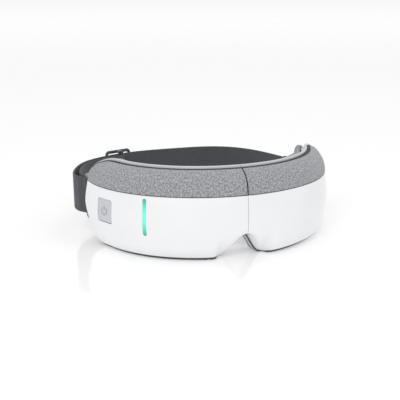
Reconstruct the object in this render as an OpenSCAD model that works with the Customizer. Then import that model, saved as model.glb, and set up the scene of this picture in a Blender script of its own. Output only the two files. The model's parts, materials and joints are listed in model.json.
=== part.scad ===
// Folding eye massager mask with an elastic head strap.
// Frame: +Z up, +X to the viewer's right when facing the front, +Y towards the wearer.
// The origin lies on the resting plane, straight below the fold axis.
// Each half is drawn on the +X side and mirrored for the left.

/* [Mask] */
// Width across the temples
mask_w = 202; // [196:1:208]
// Depth from the front face to the temple tips
mask_d = 91.8; // [88:0.2:95]
// Height of the line where the white shell meets the fabric
split_z = 50.8; // [49:0.2:52]
// Height of the fabric's top edge
top_z = 69.1; // [68:0.1:71]
// Height of the nose opening at the centre
nose_h = 18.4; // [16:0.2:20]
// Half width of the nose opening at its mouth
nose_half_w = 19; // [17:0.5:22]
// How far the fold axis lies behind the front face
fold_inset = 24; // [23.8:0.1:24.4]

/* [Walls] */
// Front shell wall
shell_wall = 2.2; // [1.8:0.1:2.4]
// Fabric thickness
fabric_wall = 0.8; // [0.6:0.1:1]
// Wall of the plastic carrier that the fabric is wrapped over
carrier_wall = 1.35; // [1.2:0.05:1.4]
// Inner housing wall
housing_wall = 3; // [2.6:0.1:3.2]

/* [Controls] */
// Width of the power button
button_w = 16.6; // [14:0.2:17.6]
// Height of the power button
button_h = 17.6; // [15:0.2:18.4]
// Button travel
button_travel = 0.8; // [0.4:0.1:1]
// Length of the light bar
light_h = 28.5; // [24:0.5:31]
// Width of the light bar
light_w = 3; // [2:0.1:3.4]

/* [Strap] */
// Webbing width
strap_w = 30; // [26:1:31]
// Webbing thickness
strap_th = 1.6; // [1.4:0.1:1.8]
// Height of the webbing's lower edge
strap_z = 21; // [20:0.5:22]

/* [Massage] */
// How far the inflating bladder pushes the massage plate
plate_travel = 2.4; // [1:0.1:2.5]

/* [Hidden] */
$fn = 48;

plan_a = mask_w / 2;
plan_b = mask_d;
seam_gap = 0.3;      // between the two halves at the centre
groove = 0.4;        // between the white shell and the fabric
layer_gap = 0.3;     // between the fabric and its carrier
rear_inset = 16.8;   // where the front shell's bottom edge ends
trim_inset = 15;     // where the fabric's top edge ends
upper_corner = 27;   // side view radius of the temple's upper corner
lower_corner = 23;   // side view radius of the temple's lower corner
taper_len = 30;      // length over which the mask thins towards the temple tip
bottom_round = 13;   // plan depth of the rounded bottom edge
nose_round = 16.5;   // plan depth of that edge beside the nose
bottom_rise = 14;    // height of the rounded bottom edge
seam_rise = 3.5;     // height of that edge at the centre seam
lobe_x = 15;         // where the edge beside the nose is rounded the most
toe_x = 24.4;        // where it reaches furthest forwards
toe_reach = 3.9;     // how much further forwards it is there
toe_w = 3.8;         // half the length of that reach
lobe_lift = 8.3;     // how much higher the rounding reaches beside the nose
lift_x = 18.4;       // where it reaches highest
lift_w = 6.3;        // half the length of that lift
front_bulge = 0.8;   // how far the white face swells between its edges at the centre
temple_bulge = 2.3;  // and at the temples
end_wall = 1.8;      // wall that closes each half at the centre seam
housing_front = rear_inset + 0.6;
nose_lip = 2.5;      // how far the inner housing stands out into the nose opening
tip_lip = 2.2;       // and beyond the front shell's tip
housing_rear = housing_front + housing_wall;

white = [0.95, 0.955, 0.96];
fabric_grey = [0.6, 0.61, 0.63];
rim_grey = [0.76, 0.77, 0.79];
pad_grey = [0.52, 0.55, 0.55];
dark_grey = [0.24, 0.25, 0.27];

// ---------- plan curve ----------
// The outside follows an ellipse. t runs from 0 at the centre seam to 90 at the temple tip, and
// d is the distance inwards from the ellipse, along its normal.
function arc_speed(t) = sqrt(pow(plan_a * cos(t), 2) + pow(plan_b * sin(t), 2));
function plan_x(t, d) = (plan_a - d * plan_b / arc_speed(t)) * sin(t);
function plan_y(t, d) = plan_b * (1 - cos(t)) + d * plan_a * cos(t) / arc_speed(t) - fold_inset;
function heading(t) = atan2(plan_b * sin(t), plan_a * cos(t));
function tip_gap(t) = max(0, plan_b * cos(t));
function t_at_gap(s) = acos(s / plan_b);
function t_at_x(x) = asin(x / plan_a);

// Depth lost by a rounded corner of radius r, at a distance s from its end.
function corner(s, r) = s >= r ? 0 : r - sqrt(r * r - (r - s) * (r - s));
// The mask's thickness as a share of its full thickness.
function taper(t) = max(0.16, pow(sin(90 * min(1, tip_gap(t) / taper_len)), 0.75));
// The fabric and the rim thin sooner than the shell does.
function trim_taper(t) = pow(taper(t), 1.8) + 0.08 * (1 - taper(t));
function nose(t) = nose_h * (1 + cos(180 * min(1, plan_a * sin(t) / nose_half_w))) / 2;
function rise(t) = let (u = min(1, plan_a * sin(t) / lobe_x))
    (seam_rise + (bottom_rise - seam_rise) * u * u * (3 - 2 * u)) * (0.25 + 0.75 * taper(t));
function round_depth(t) = let (u = max(0, min(1, (plan_a * sin(t) - nose_half_w + 1) / 14)))
    nose_round - (nose_round - bottom_round) * u * u * (3 - 2 * u)
    - toe_reach * exp(-pow((plan_a * sin(t) - toe_x) / toe_w, 2));
function lift(t) = lobe_lift * exp(-pow((plan_a * sin(t) - lift_x) / lift_w, 2));
function low_z(t, grow = 0) = nose(t) + corner(tip_gap(t) + grow, lower_corner);
function high_z(t, grow = 0) = top_z - corner(tip_gap(t) + grow, upper_corner);

// Places its children on the plan curve: local X along it, local Y inwards.
module on_curve(t, d, z) {
    translate([plan_x(t, d), plan_y(t, d), z]) rotate([0, 0, heading(t)]) children();
}

// Draws its children on the right half, or mirrored on the left one.
module half(side) {
    mirror([side == "left" ? 1 : 0, 0, 0]) translate([seam_gap / 2, 0, 0]) children();
}

// ---------- lofts ----------
// A station is [t, solid], where solid closes the section off as an end wall.
nose_run = 30;
nose_steps = 10;
mid_steps = 9;
tip_steps = 7;
function steps(from, to, n) = [for (i = [0 : n - 1]) from + (to - from) * i / n];
function eased(from, to, n) = [for (i = [0 : n]) from + (to - from) * sin(90 * i / n)];

// Stations of a hollow cover: an end wall at the centre, the hollow run, and an end wall at the tip.
function cover_stations(tip) = let (
        t_wall = t_at_x(end_wall), t_nose = t_at_x(nose_run),
        t_tip = t_at_gap(taper_len), t_close = t_at_gap(8), t_end = t_at_gap(tip))
    concat([[0, true], [t_wall, true]],
        [for (t = steps(t_wall + 0.05, t_nose, nose_steps)) [t, false]],
        [for (t = steps(t_nose, t_tip, mid_steps)) [t, false]],
        [for (t = eased(t_tip, t_close, 4)) [t, false]],
        [for (t = eased(t_close + 0.05, t_end, tip_steps)) [t, true]]);

// Shifts a profile of [inset, z] points sideways by w, towards the mask's inside.
function inner_offset(p, w) = [for (i = [0 : len(p) - 1]) let (
        a = p[max(0, i - 1)], b = p[min(len(p) - 1, i + 1)], v = (b - a) / norm(b - a))
    p[i] + w * [v[1], -v[0]]];

function bulge(t) = front_bulge + (temple_bulge - front_bulge) * pow(sin(t), 2);

// Closed section from an outer and an inner profile with as many points each.
function closed(t, outer, inner) = [
    for (p = outer) [plan_x(t, p[0]), plan_y(t, p[0]), p[1]],
    for (i = [len(inner) - 1 : -1 : 0]) [plan_x(t, inner[i][0]), plan_y(t, inner[i][0]), inner[i][1]]];

// Skins sections of m points each. Both ends are closed by strips across the section.
module loft(sections) {
    m = len(sections[0]);
    n = len(sections);
    last = (n - 1) * m;
    sides = [for (k = [0 : n - 2]) for (i = [0 : m - 1]) let (
            a = k * m + i, b = k * m + (i + 1) % m)
        for (f = [[a, b, b + m], [a, b + m, a + m]]) f];
    start = [for (i = [0 : m / 2 - 2]) let (c = m - 1 - i)
        for (f = [[i, c - 1, i + 1], [i, c, c - 1]]) f];
    end = [for (f = start) [last + f[0], last + f[2], last + f[1]]];
    polyhedron(concat([for (s = sections) each s]), concat(sides, start, end));
}

// A slab that follows the plan curve between two insets.
module curved_slab(t0, t1, d0, d1, z0, z1, n = 8) {
    loft([for (i = [0 : n]) let (t = t0 + (t1 - t0) * i / n)
        closed(t, [[d0, z0], [d0, z1]], [[d1, z0], [d1, z1]])]);
}

// ---------- front shell ----------
function shell_profile(t) = let (k = taper(t), z0 = low_z(t), zb = z0 + rise(t) + lift(t)) [
    [rear_inset * k, z0],
    for (f = [0, 22, 42, 60, 76, 90]) [round_depth(t) * k * (1 - sin(f)),
        z0 + rise(t) * (1 - cos(f)) + lift(t) * pow(sin(f), 0.8)],
    for (u = [0.3, 0.6, 1]) [-bulge(t) * sin(180 * pow(u, 0.8)), zb + (split_z - zb) * u]];

module shell_skin() {
    color(white) loft([for (s = cover_stations(0.6)) let (
            p = shell_profile(s[0]), rear = rear_inset * taper(s[0]) + 0.2)
        closed(s[0], p, s[1] ? [for (i = [0 : len(p) - 1])
            [rear, p[0][1] + (split_z - p[0][1]) * i / (len(p) - 1)]] : inner_offset(p, shell_wall))]);
}

button_t = 68.5;
button_z = 33.7;
light_t = 45.1;
light_z = 34.3;
socket_t = 60;
socket_d = 14.2;

// The button's outline, grown by grow on every side, as a prism along local Y.
module button_prism(grow, y0, y1) {
    w = button_w + 2 * grow;
    h = button_h + 2 * grow;
    r = 2 + grow;
    translate([0, y1, 0]) rotate([90, 0, 0]) linear_extrude(y1 - y0) {
        square([w, h - 2 * r], center = true);
        square([w - 2 * r, h], center = true);
        for (x = [-1, 1], y = [-1, 1]) translate([x * (w / 2 - r), y * (h / 2 - r)]) circle(r);
    }
}

// A slot with round ends, long side along local Z, drawn along local Y.
module upright_slot(w, h, y0, y1) {
    translate([-w / 2, y0, -(h - w) / 2]) cube([w, y1 - y0, h - w]);
    for (z = [-1, 1]) translate([0, y0, z * (h - w) / 2]) rotate([-90, 0, 0]) cylinder(d = w, h = y1 - y0);
}

module front_shell(side) {
    color(white) half(side) difference() {
        shell_skin();
        if (side == "left") {
            on_curve(button_t, 0, button_z) button_prism(0.25, -4, 3.5);
            on_curve(light_t, 0, light_z) upright_slot(light_w + 0.1, light_h + 0.1, -3, 4);
            on_curve(socket_t, socket_d, 0) socket_body(0.25, -1, 3);
        }
    }
}

// ---------- fabric trim ----------
function trim_profile(t) = let (
        k = trim_taper(t), z0 = split_z + groove, h = high_z(t, rim_lip) - z0)
    [for (f = [0, 20, 38, 54, 68, 80, 90]) [trim_inset * k * (1 - cos(f)), z0 + h * sin(f)]];

// Layer of the trim between two depths below its outer face.
module trim_layer(d0, d1) {
    loft([for (s = cover_stations(1.2)) let (p = trim_profile(s[0]))
        closed(s[0], inner_offset(p, d0), inner_offset(p, d1))]);
}

module fabric_cover(side) { color(fabric_grey) half(side) trim_layer(0, fabric_wall); }
module trim_carrier(side) {
    color(dark_grey) half(side) trim_layer(fabric_wall + layer_gap, fabric_wall + layer_gap + carrier_wall);
}

// ---------- inner housing ----------
// Past flange_t, beyond the shell's tip, the housing reaches out to the mask's outside.
flange_t = 89.75;
flange_end = 91.4;
rim_w = 2.4;
rim_top = 1.8;
rim_lip = 3;
function housing_stations() = concat(steps(0, t_at_x(nose_run), nose_steps),
    steps(t_at_x(nose_run), t_at_gap(taper_len), mid_steps),
    eased(t_at_gap(taper_len), flange_t, 8), [flange_t + 0.12, flange_end]);
function housing_d(t) = rear_inset * taper(t) + 0.6;

function housing_section(t) = let (
        out = t > flange_t, plate = housing_d(t), d = out ? 0.5 : plate, w = plate + housing_wall - d,
        lip = out ? 0.5 : trim_inset * trim_taper(t) + 0.9,
        z0 = low_z(t, tip_lip) - nose_lip * min(1, nose(t) / 6), z1 = high_z(t, rim_lip), zm = (z0 + z1) / 2)
    closed(t,
        [[d + 0.6, z0 + 0.5], [d, z0 + 1.2], [d, z0 + 5], [d, zm], [d, z1 - 3.4],
         [lip, z1 - 2.4], [lip, z1 + rim_top - 0.7], [lip + 0.7, z1 + rim_top]],
        [[d + w - 0.8, z0 + 0.5], [d + w, z0 + 1.3], [d + w, z0 + 5], [d + w, zm], [d + w, z1 - 3.4],
         [d + w, z1 - 1.6], [lip + rim_w, z1 - 1], [lip + rim_w - 0.7, z1 + rim_top]]);

boss_places = [[30, 12], [62, 12], [30, 61], [66, 56]];

module inner_housing(side) {
    color(rim_grey) half(side) difference() {
        union() {
            loft([for (t = housing_stations()) housing_section(t)]);
            for (b = boss_places) on_curve(b[0], housing_front + 0.5, b[1]) rotate([90, 0, 0])
                cylinder(d = 6, h = 7);
        }
        for (b = boss_places) on_curve(b[0], housing_rear + 3, b[1]) rotate([90, 0, 0])
            cylinder(d = 2.4, h = 16);
        for (z = hinge_screw_z) translate([hinge_screw_x, 0, z]) rotate([90, 0, 0]) cylinder(d = 2.1, h = 10);
        // windows for the ribbon cable and the air tube
        translate([4, -10, cable_z - 4.6]) cube([9, 9, 9.2]);
        translate([4, -10, tube_z - 1.8]) cube([9, 9, 3.6]);
        // seat of the hinge leaf
        translate([-1, leaf_front + 0.02, knuckle_z0 - 0.3]) cube([16.6, 5, knuckle_count * knuckle_h + 0.6]);
        // slot for the strap anchor's tab
        translate([tab_x - 0.2, plan_b - fold_inset - 12, tab_z - 0.2]) cube([tab_w + 0.4, 14, tab_h + 0.4]);
    }
}

module housing_screws(side) {
    color("silver") half(side) for (b = boss_places)
        on_curve(b[0], housing_rear + 0.2, b[1]) rotate([90, 0, 0]) {
        cylinder(d = 2.2, h = 8);
        translate([0, 0, -1.2]) difference() {
            cylinder(d = 4, h = 1.2);
            cylinder(d = 1.6, h = 0.7, $fn = 6);
        }
    }
}

// ---------- face cushion and massage stack ----------
eye_t = 25;
eye_z = 38;
cushion_t0 = 12.8;
cushion_t1 = t_at_gap(7);
stack_t0 = 14.5;
stack_t1 = 38;
stack_z0 = 20;
stack_z1 = 58;
plate_d = housing_rear + 1.9;
film_d = plate_d + 3.5 + plate_travel; // clear of the plate's nodes at full travel

// How far in the cushion's face reaches at t, before its ends are rounded.
function cushion_face(t) = 33.5 - 7 * pow(sin(90 * max(0, min(1, (t - 42) / 34))), 2);
// Rounds the cushion down towards both ends.
function cushion_end(t) = sin(90 * min(1, max(0, t - cushion_t0) / 3.4))
    * sin(90 * min(1, max(0, cushion_t1 - t) / 9));
// Depth of the hollow in front of the eye.
function eye_dish(t, z) = 3 * pow(cos(90 * min(1, norm([(t - eye_t) / 13, (z - eye_z) / 15]))), 2);

cushion_lobes = 12;
function cushion_section(t) = let (
        back = housing_d(t) + housing_wall + 0.3, z0 = low_z(t) + 4, z1 = high_z(t) - 1,
        deep = max(1.2, (cushion_face(t) - back) * cushion_end(t)), zm = (z0 + z1) / 2, r = (z1 - z0) / 2)
    closed(t,
        [for (i = [0 : cushion_lobes]) [back, z0 + (z1 - z0) * (0.06 + 0.88 * i / cushion_lobes)]],
        [for (i = [0 : cushion_lobes]) let (
                f = -90 + 180 * i / cushion_lobes, z = zm + r * sign(f) * pow(abs(sin(f)), 0.8))
            [back + 0.6 + (deep - 0.6) * pow(abs(cos(f)), 0.45) - eye_dish(t, z) * cushion_end(t), z]]);

module face_cushion(side) {
    color(pad_grey) half(side) difference() {
        loft([for (t = concat(eased(cushion_t1, 70, 4), steps(66, 17, 10), eased(17, cushion_t0, 4)))
            cushion_section(t)]);
        curved_slab(stack_t0 - 0.5, stack_t1 + 0.5, housing_rear - 1, film_d + 0.4,
            stack_z0 - 0.8, stack_z1 + 0.8);
        for (b = boss_places) on_curve(b[0], housing_rear - 1, b[1]) rotate([-90, 0, 0])
            cylinder(d = 5, h = 3);
    }
}

module air_bladder(side) {
    color([0.85, 0.86, 0.8]) half(side)
        curved_slab(stack_t0, stack_t1, housing_rear + 0.15, housing_rear + 1.75, stack_z0 + 1, stack_z1 - 1);
}

node_r = 2.4;
node_seat = 0.9;
node_ring = [for (i = [0 : 7]) [eye_t + 1.2 + 8.6 * cos(i * 45), eye_z + 13 * sin(i * 45)]];

module massage_plate(side) {
    color([0.35, 0.36, 0.38]) half(side) union() {
        difference() {
            curved_slab(stack_t0 + 1, stack_t1 - 1, plate_d, plate_d + 1.4, stack_z0 + 2, stack_z1 - 2);
            on_curve(eye_t + 1.2, plate_d, eye_z) rotate([90, 0, 0]) cylinder(d = 15, h = 12, center = true);
        }
        for (p = node_ring) on_curve(p[0], plate_d + node_seat, p[1]) intersection() {
            sphere(r = node_r);
            translate([-3, 0, -3]) cube([6, 3, 6]);
        }
    }
}

module heating_film(side) {
    color([0.75, 0.45, 0.2]) half(side)
        curved_slab(stack_t0 + 0.5, stack_t1 - 0.5, film_d, film_d + 0.3, stack_z0 + 1, stack_z1 - 1);
}

// ---------- fold hinge ----------
pin_r = 1.5;
knuckle_r = 3;
knuckle_z0 = 29;
knuckle_h = 7;
knuckle_count = 4;
hinge_screw_x = 12;
hinge_screw_z = [33, 53];
leaf_front = housing_rear - fold_inset;
leaf_th = 1.2;
module hinge_leaf(side, first) {
    color("silver") difference() {
        union() {
            for (i = [first : 2 : knuckle_count - 1]) translate([0, 0, knuckle_z0 + i * knuckle_h + 0.1]) {
                cylinder(r = knuckle_r, h = knuckle_h - 0.2);
                mirror([side == "left" ? 1 : 0, 0, 0])
                    translate([0, leaf_front + 0.1, 0]) cube([5, leaf_th, knuckle_h - 0.2]);
            }
            mirror([side == "left" ? 1 : 0, 0, 0]) translate([4, leaf_front + 0.1, knuckle_z0])
                cube([11, leaf_th, knuckle_count * knuckle_h]);
        }
        translate([0, 0, knuckle_z0 - 1]) cylinder(r = pin_r + 0.04, h = knuckle_count * knuckle_h + 2);
        for (z = hinge_screw_z) translate([(side == "left" ? -1 : 1) * (hinge_screw_x + seam_gap / 2), 0, z])
            rotate([90, 0, 0]) cylinder(d = 2.3, h = 10, center = true);
    }
}

module hinge_pin() {
    color("silver") translate([0, 0, knuckle_z0 - 1]) {
        cylinder(r = pin_r, h = knuckle_count * knuckle_h + 1.2);
        translate([0, 0, knuckle_count * knuckle_h + 1.2]) cylinder(r = 2.4, h = 0.9);
    }
}

module hinge_screws(side) {
    color("silver") half(side) for (z = hinge_screw_z)
        translate([hinge_screw_x, leaf_front + leaf_th + 0.15, z]) rotate([90, 0, 0]) {
            cylinder(d = 1.9, h = 5);
            translate([0, 0, -0.9]) difference() {
                cylinder(d = 3.6, h = 0.9);
                cylinder(d = 1.5, h = 0.5, $fn = 6);
            }
        }
}

// Soft bridge over the hinge, between the two cushions.
gusset_half_w = 15;
gusset_z = 5;
module nose_gusset() {
    color(pad_grey) translate([0, 4.2, gusset_z]) linear_extrude(66 - gusset_z) polygon(concat(
        [for (i = [-8 : 8]) [gusset_half_w * i / 8, 1.6 * (1 - pow(i / 8, 2)) - 0.2]],
        [for (i = [8 : -1 : -8]) [gusset_half_w * i / 8, 1.6 * (1 - pow(i / 8, 2)) + 1.4]]));
}

// ---------- what crosses the hinge ----------
cable_z = 62.6;
tube_z = 26.5;
tube_th = 1.8;
// Points of an S that starts inside a half, leaves through a window and crosses behind the knuckles' front.
function crossing(depth) = [for (u = [-1 : 0.1 : 1])
    [11 * u, depth - 8 * (1 - pow(cos(90 * u), 1.2))]];

// A ribbon of the given thickness along a line of points, in the XY plane.
module ribbon(line, th) {
    n = len(line) - 1;
    normals = [for (i = [0 : n]) let (v = line[min(n, i + 1)] - line[max(0, i - 1)]) [-v[1], v[0]] / norm(v)];
    polygon(concat([for (i = [0 : n]) line[i] + normals[i] * th / 2],
        [for (i = [n : -1 : 0]) line[i] - normals[i] * th / 2]));
}

module ribbon_cable() {
    color("orange") translate([0, 0, cable_z - 3.8]) linear_extrude(7.6) ribbon(crossing(-0.6), 0.3);
}

module air_tube_bridge() {
    color([0.8, 0.8, 0.8]) translate([0, 0, tube_z - tube_th / 2]) linear_extrude(tube_th)
        ribbon(crossing(-0.6), tube_th);
}

// ---------- electronics of the left half ----------
board_d = 14;
module main_board() {
    color("darkgreen") half("left") on_curve(26, board_d, 34) {
        translate([-16, 0, -15]) cube([32, 1.2, 30]);
        translate([-11, -1.6, -2]) cube([7, 1.7, 7]);
        translate([2, -1.2, -9]) cube([5, 1.3, 5]);
        translate([4, -3.4, 4]) cube([8, 3.5, 5]);
        for (x = [-12 : 4 : 4]) translate([x, -0.8, -12]) cube([2, 0.9, 1.2]);
    }
}

module light_bar() {
    color([0.25, 0.85, 0.7]) half("left") on_curve(light_t, 0, light_z) {
        upright_slot(light_w, light_h, -1.4, 2.4);
        upright_slot(light_w + 2.4, light_h + 2, 2.6, 4);
        upright_slot(light_w, light_h, 2.3, 2.7);
    }
}

module light_board() {
    color("darkgreen") half("left") on_curve(light_t, 0, light_z) {
        translate([-3, 5.6, -15]) cube([6, 1, 30]);
        for (z = [-12 : 6 : 12]) translate([-1.2, 4.7, z - 1.2]) cube([2.4, 1, 2.4]);
    }
}

// The cap's face sits just inside the shell's hole, with a wider flange behind the wall.
module power_button() {
    color([0.84, 0.84, 0.87]) half("left") on_curve(button_t, 0, button_z) {
        button_prism(0, -1.6, 3.9);
        button_prism(1.2, 3.6, 4.4);
        translate([0, 4.3, 0]) rotate([-90, 0, 0]) cylinder(r = 1.6, h = 3.2);
    }
}

module switch_plunger() {
    color("black") half("left") on_curve(button_t, 7.55, button_z) rotate([-90, 0, 0])
        cylinder(r = 1.4, h = 1.6);
}

module tact_switch() {
    color("dimgray") half("left") on_curve(button_t, 8.4, button_z) difference() {
        union() {
            translate([-3, 0, -3]) cube([6, 2.6, 6]);
            translate([-7, 2.5, -8]) cube([14, 1.1, 16]);
        }
        translate([0, -0.1, 0]) rotate([-90, 0, 0]) cylinder(r = 1.6, h = button_travel + 1.1);
    }
}

// Receptacle with a stadium mouth, mouth down. grow opens it up for its hole in the shell.
module socket_body(grow, z0, z1) {
    translate([-2.9, -1.6 - grow, z0]) cube([5.8, 3.2 + 2 * grow, z1 - z0]);
    for (x = [-1, 1]) translate([x * 2.9, 0, z0]) cylinder(r = 1.6 + grow, h = z1 - z0);
}

module charging_socket() {
    color("silver") half("left") on_curve(socket_t, socket_d, 0) difference() {
        socket_body(0, 0.3, 7.6);
        translate([0, 0, -1]) scale([0.86, 0.86, 1]) linear_extrude(7.4) {
            square([5.8, 3.2], center = true);
            for (x = [-1, 1]) translate([x * 2.9, 0]) circle(1.6);
        }
    }
}

// ---------- right half: power and air ----------
module battery_pack() {
    color([0.7, 0.72, 0.75]) half("right") on_curve(34, 7.2, 33) translate([-18, 0, -14]) cube([36, 6.4, 28]);
}

module air_pump() {
    color("silver") half("right") on_curve(59.5, 10, 30) {
        rotate([0, 90, 0]) cylinder(d = 12, h = 14, center = true);
        translate([6.9, -6, -6.5]) cube([8, 11, 13]);
        translate([10.9, 0, 6.4]) cylinder(d = 2.6, h = 4);
    }
}

module air_valves() {
    color("dimgray") half("right") for (z = [18, 42]) on_curve(51, 9.6, z) {
        translate([-4.5, -3.5, -4.5]) cube([9, 7, 9]);
        translate([0, 0, 4.4]) cylinder(d = 2.4, h = 3);
    }
}

// ---------- both halves: sound and vibration ----------
// Each speaker's place as [t, inset, z], and its basket's diameter.
speaker_place = [["left", [56, 8.6, 20], 13], ["right", [76, 7.4, 36], 12]];
module speaker(side) {
    color("dimgray") half(side) for (s = speaker_place) if (s[0] == side)
        on_curve(s[1][0], s[1][1], s[1][2]) {
        rotate([-90, 0, 0]) cylinder(d = s[2], h = 2.8);
        rotate([90, 0, 0]) cylinder(d = 9, h = 1.4);
    }
}

motor_t = 12;
motor_z = 57.5;
motor_d = 12.6;
module vibration_motor(side) {
    color("silver") half(side) on_curve(motor_t, motor_d, motor_z) {
        rotate([0, 90, 0]) difference() {
            cylinder(d = 5, h = 10);
            translate([0, 0, 8]) cylinder(d = 1.1, h = 3);
        }
        translate([0.5, 1.8, -2.5]) cube([9, 1.6, 5]);
    }
}

module eccentric_weight(side) {
    color("gray") half(side) on_curve(motor_t, motor_d, motor_z) rotate([0, 90, 0]) {
        translate([0, 0, 8.4]) cylinder(d = 1, h = 5.4);
        intersection() {
            translate([0, 0, 10.6]) cylinder(d = 4.6, h = 3);
            translate([-3, -0.3, 10]) cube([6, 3, 4]);
        }
    }
}

module air_tube(side) {
    t_end = side == "left" ? 13 : 47;
    color([0.8, 0.8, 0.8]) half(side)
        curved_slab(7.9, t_end, 15, 15 + tube_th, tube_z - tube_th / 2, tube_z + tube_th / 2, 6);
}

// ---------- strap ----------
anchor_x = 98.4;
anchor_y = 101 - fold_inset;
anchor_r = 1.5;
anchor_plate = 1.6;
tab_x = 89.6;
tab_w = 2;
tab_h = 12;
tab_z = 34;
module strap_anchor(side) {
    z0 = strap_z - 2.6;
    h = strap_w + 5.2;
    plate_y = plan_b - fold_inset + 2.6;
    color(rim_grey) half(side) {
        translate([anchor_x, anchor_y, z0]) cylinder(r = anchor_r, h = h);
        translate([tab_x, plate_y, z0]) cube([anchor_x + 1 - tab_x, anchor_plate, h]);
        for (z = [z0, z0 + h - 1.8]) {
            translate([anchor_x, anchor_y, z]) cylinder(r = 2.4, h = 1.8);
            translate([anchor_x - 2.4, plate_y, z]) cube([4.8, anchor_y - plate_y, 1.8]);
        }
        // tab with a hook, which snaps into the housing's slot
        translate([tab_x, plate_y - 13, tab_z]) cube([tab_w, 13.1, tab_h]);
        translate([tab_x, plate_y - 13, tab_z + 2]) cube([tab_w + 0.8, 2, tab_h - 4]);
    }
}

// The strap's rear run is an arc, so that the slider can travel along it.
run_x = -13.6;
run_y = 76.6 - fold_inset;
run_r = 115.4;
run_from = 132;
run_to = 88;
function on_run(a, off = 0) = [run_x + (run_r + off) * cos(a), run_y + (run_r + off) * sin(a)];

// A smooth line through the points p, as a Catmull-Rom curve with n steps a span.
function smooth_line(p, n) = [for (i = [1 : len(p) - 3]) for (k = [0 : n - 1]) let (
        u = k / n, a = p[i - 1], b = p[i], c = p[i + 1], d = p[i + 2])
    0.5 * (2 * b + (c - a) * u + (2 * a - 5 * b + 4 * c - d) * u * u + (3 * b - a - 3 * c + d) * u * u * u)];

loop_r = anchor_r + strap_th / 2 + 0.25;
function around(x, y, from, to, n, r = loop_r) = [for (i = [0 : n])
    [x + r * cos(from + (to - from) * i / n), y + r * sin(from + (to - from) * i / n)]];

slider_a = 110.2;
slider_l = 26;
bar_r = 1.1;
middle_off = -4.1;
function bar_at(side) = on_run(slider_a + side * (slider_l / 2 - bar_r - 0.3) / run_r * 180 / PI, 2.2);

// The strap's middle line in plan, from the slider's middle bar round both anchors.
function strap_line() = let (
        m = on_run(slider_a, middle_off), r = bar_r + strap_th / 2 + 0.2, y0 = -fold_inset,
        ax = anchor_x, ay = anchor_y)
    concat(
        around(m[0], m[1], slider_a + 60, slider_a - 90, 6, r),
        around(m[0], m[1], slider_a - 110, slider_a - 180, 3, r),
        smooth_line([on_run(slider_a, -7), on_run(slider_a + 5, -6.4), on_run(run_from, -4.6),
            [-99.4, y0 + 132], [-101.5, y0 + 120], [-99.5, y0 + 108],
            [-ax + loop_r, ay + 1], [-ax + loop_r, ay - 9]], 5),
        around(-ax, ay, 0, -180, 10),
        smooth_line([[-ax - loop_r, ay - 6], [-ax - loop_r - 0.1, ay + 1], [-105.2, y0 + 108],
            [-107.2, y0 + 118], [-105.6, y0 + 129.6], [-101, y0 + 141],
            on_run(run_from), on_run(run_from - 4)], 5),
        [for (a = [run_from : -3 : run_to]) on_run(a)],
        smooth_line([on_run(run_to + 3), on_run(run_to - 3), [14, y0 + 191.6], [33.6, y0 + 190],
            [51.6, y0 + 182.6], [63, y0 + 171], [69.5, y0 + 160.5], [74.6, y0 + 149],
            [78.8, y0 + 135], [82.6, y0 + 120], [88, y0 + 108],
            [ax - loop_r, ay + 1.5], [ax - loop_r, ay - 6]], 4),
        around(ax, ay, 180, 360, 10),
        smooth_line([[ax + loop_r, ay - 6], [ax + loop_r, ay + 1], [96.2, y0 + 105.5],
            [89.6, y0 + 111.6], [85.2, y0 + 122.5], [83, y0 + 130]], 4));

module elastic_strap() {
    color(dark_grey) translate([0, 0, strap_z]) linear_extrude(strap_w) ribbon(strap_line(), strap_th);
}

// Three-bar slider. The strap runs inside the two end bars and outside the middle one.
module strap_slider() {
    z0 = strap_z - 3.4;
    h = strap_w + 6.8;
    m = on_run(slider_a, middle_off);
    color(dark_grey) {
        for (p = [bar_at(-1), bar_at(1), m]) translate([p[0], p[1], z0 + 0.5]) cylinder(r = bar_r, h = h - 1);
        for (z = [z0, z0 + h - 2.2]) translate([on_run(slider_a)[0], on_run(slider_a)[1], z])
            rotate([0, 0, slider_a - 90]) translate([-slider_l / 2, middle_off - 1.4, 0])
                cube([slider_l, 8, 2.2]);
    }
}

front_shell("left");  // front_shell_left
front_shell("right");  // front_shell_right
trim_carrier("left");  // trim_carrier_left
trim_carrier("right");  // trim_carrier_right
fabric_cover("left");  // fabric_cover_left
fabric_cover("right");  // fabric_cover_right
inner_housing("left");  // inner_housing_left
inner_housing("right");  // inner_housing_right
face_cushion("left");  // face_cushion_left
face_cushion("right");  // face_cushion_right
air_bladder("left");  // air_bladder_left
air_bladder("right");  // air_bladder_right
massage_plate("left");  // massage_plate_left
massage_plate("right");  // massage_plate_right
heating_film("left");  // heating_film_left
heating_film("right");  // heating_film_right
speaker("left");  // speaker_left
speaker("right");  // speaker_right
vibration_motor("left");  // vibration_motor_left
vibration_motor("right");  // vibration_motor_right
eccentric_weight("left");  // eccentric_weight_left
eccentric_weight("right");  // eccentric_weight_right
hinge_leaf("left", 0);  // hinge_leaf_left
hinge_leaf("right", 1);  // hinge_leaf_right
hinge_pin();
hinge_screws("left");  // hinge_screws_left
hinge_screws("right");  // hinge_screws_right
housing_screws("left");  // housing_screws_left
housing_screws("right");  // housing_screws_right
nose_gusset();
ribbon_cable();
air_tube_bridge();
air_tube("left");  // air_tube_left
air_tube("right");  // air_tube_right
main_board();
light_bar();
light_board();
power_button();
switch_plunger();
tact_switch();
charging_socket();
battery_pack();
air_pump();
air_valves();
strap_anchor("left");  // strap_anchor_left
strap_anchor("right");  // strap_anchor_right
elastic_strap();
strap_slider();
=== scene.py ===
"""Looks of the folding eye massager mask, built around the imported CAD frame.

Forms are worked out in millimetres and written to meshes in metres. Each half is drawn on the +X side
and mirrored for the left. t is the plan ellipse's angle in degrees, from 0 at the centre seam to 90 at
the temple tip, and d is the distance inwards from the ellipse.
"""

import json
import math

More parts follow.
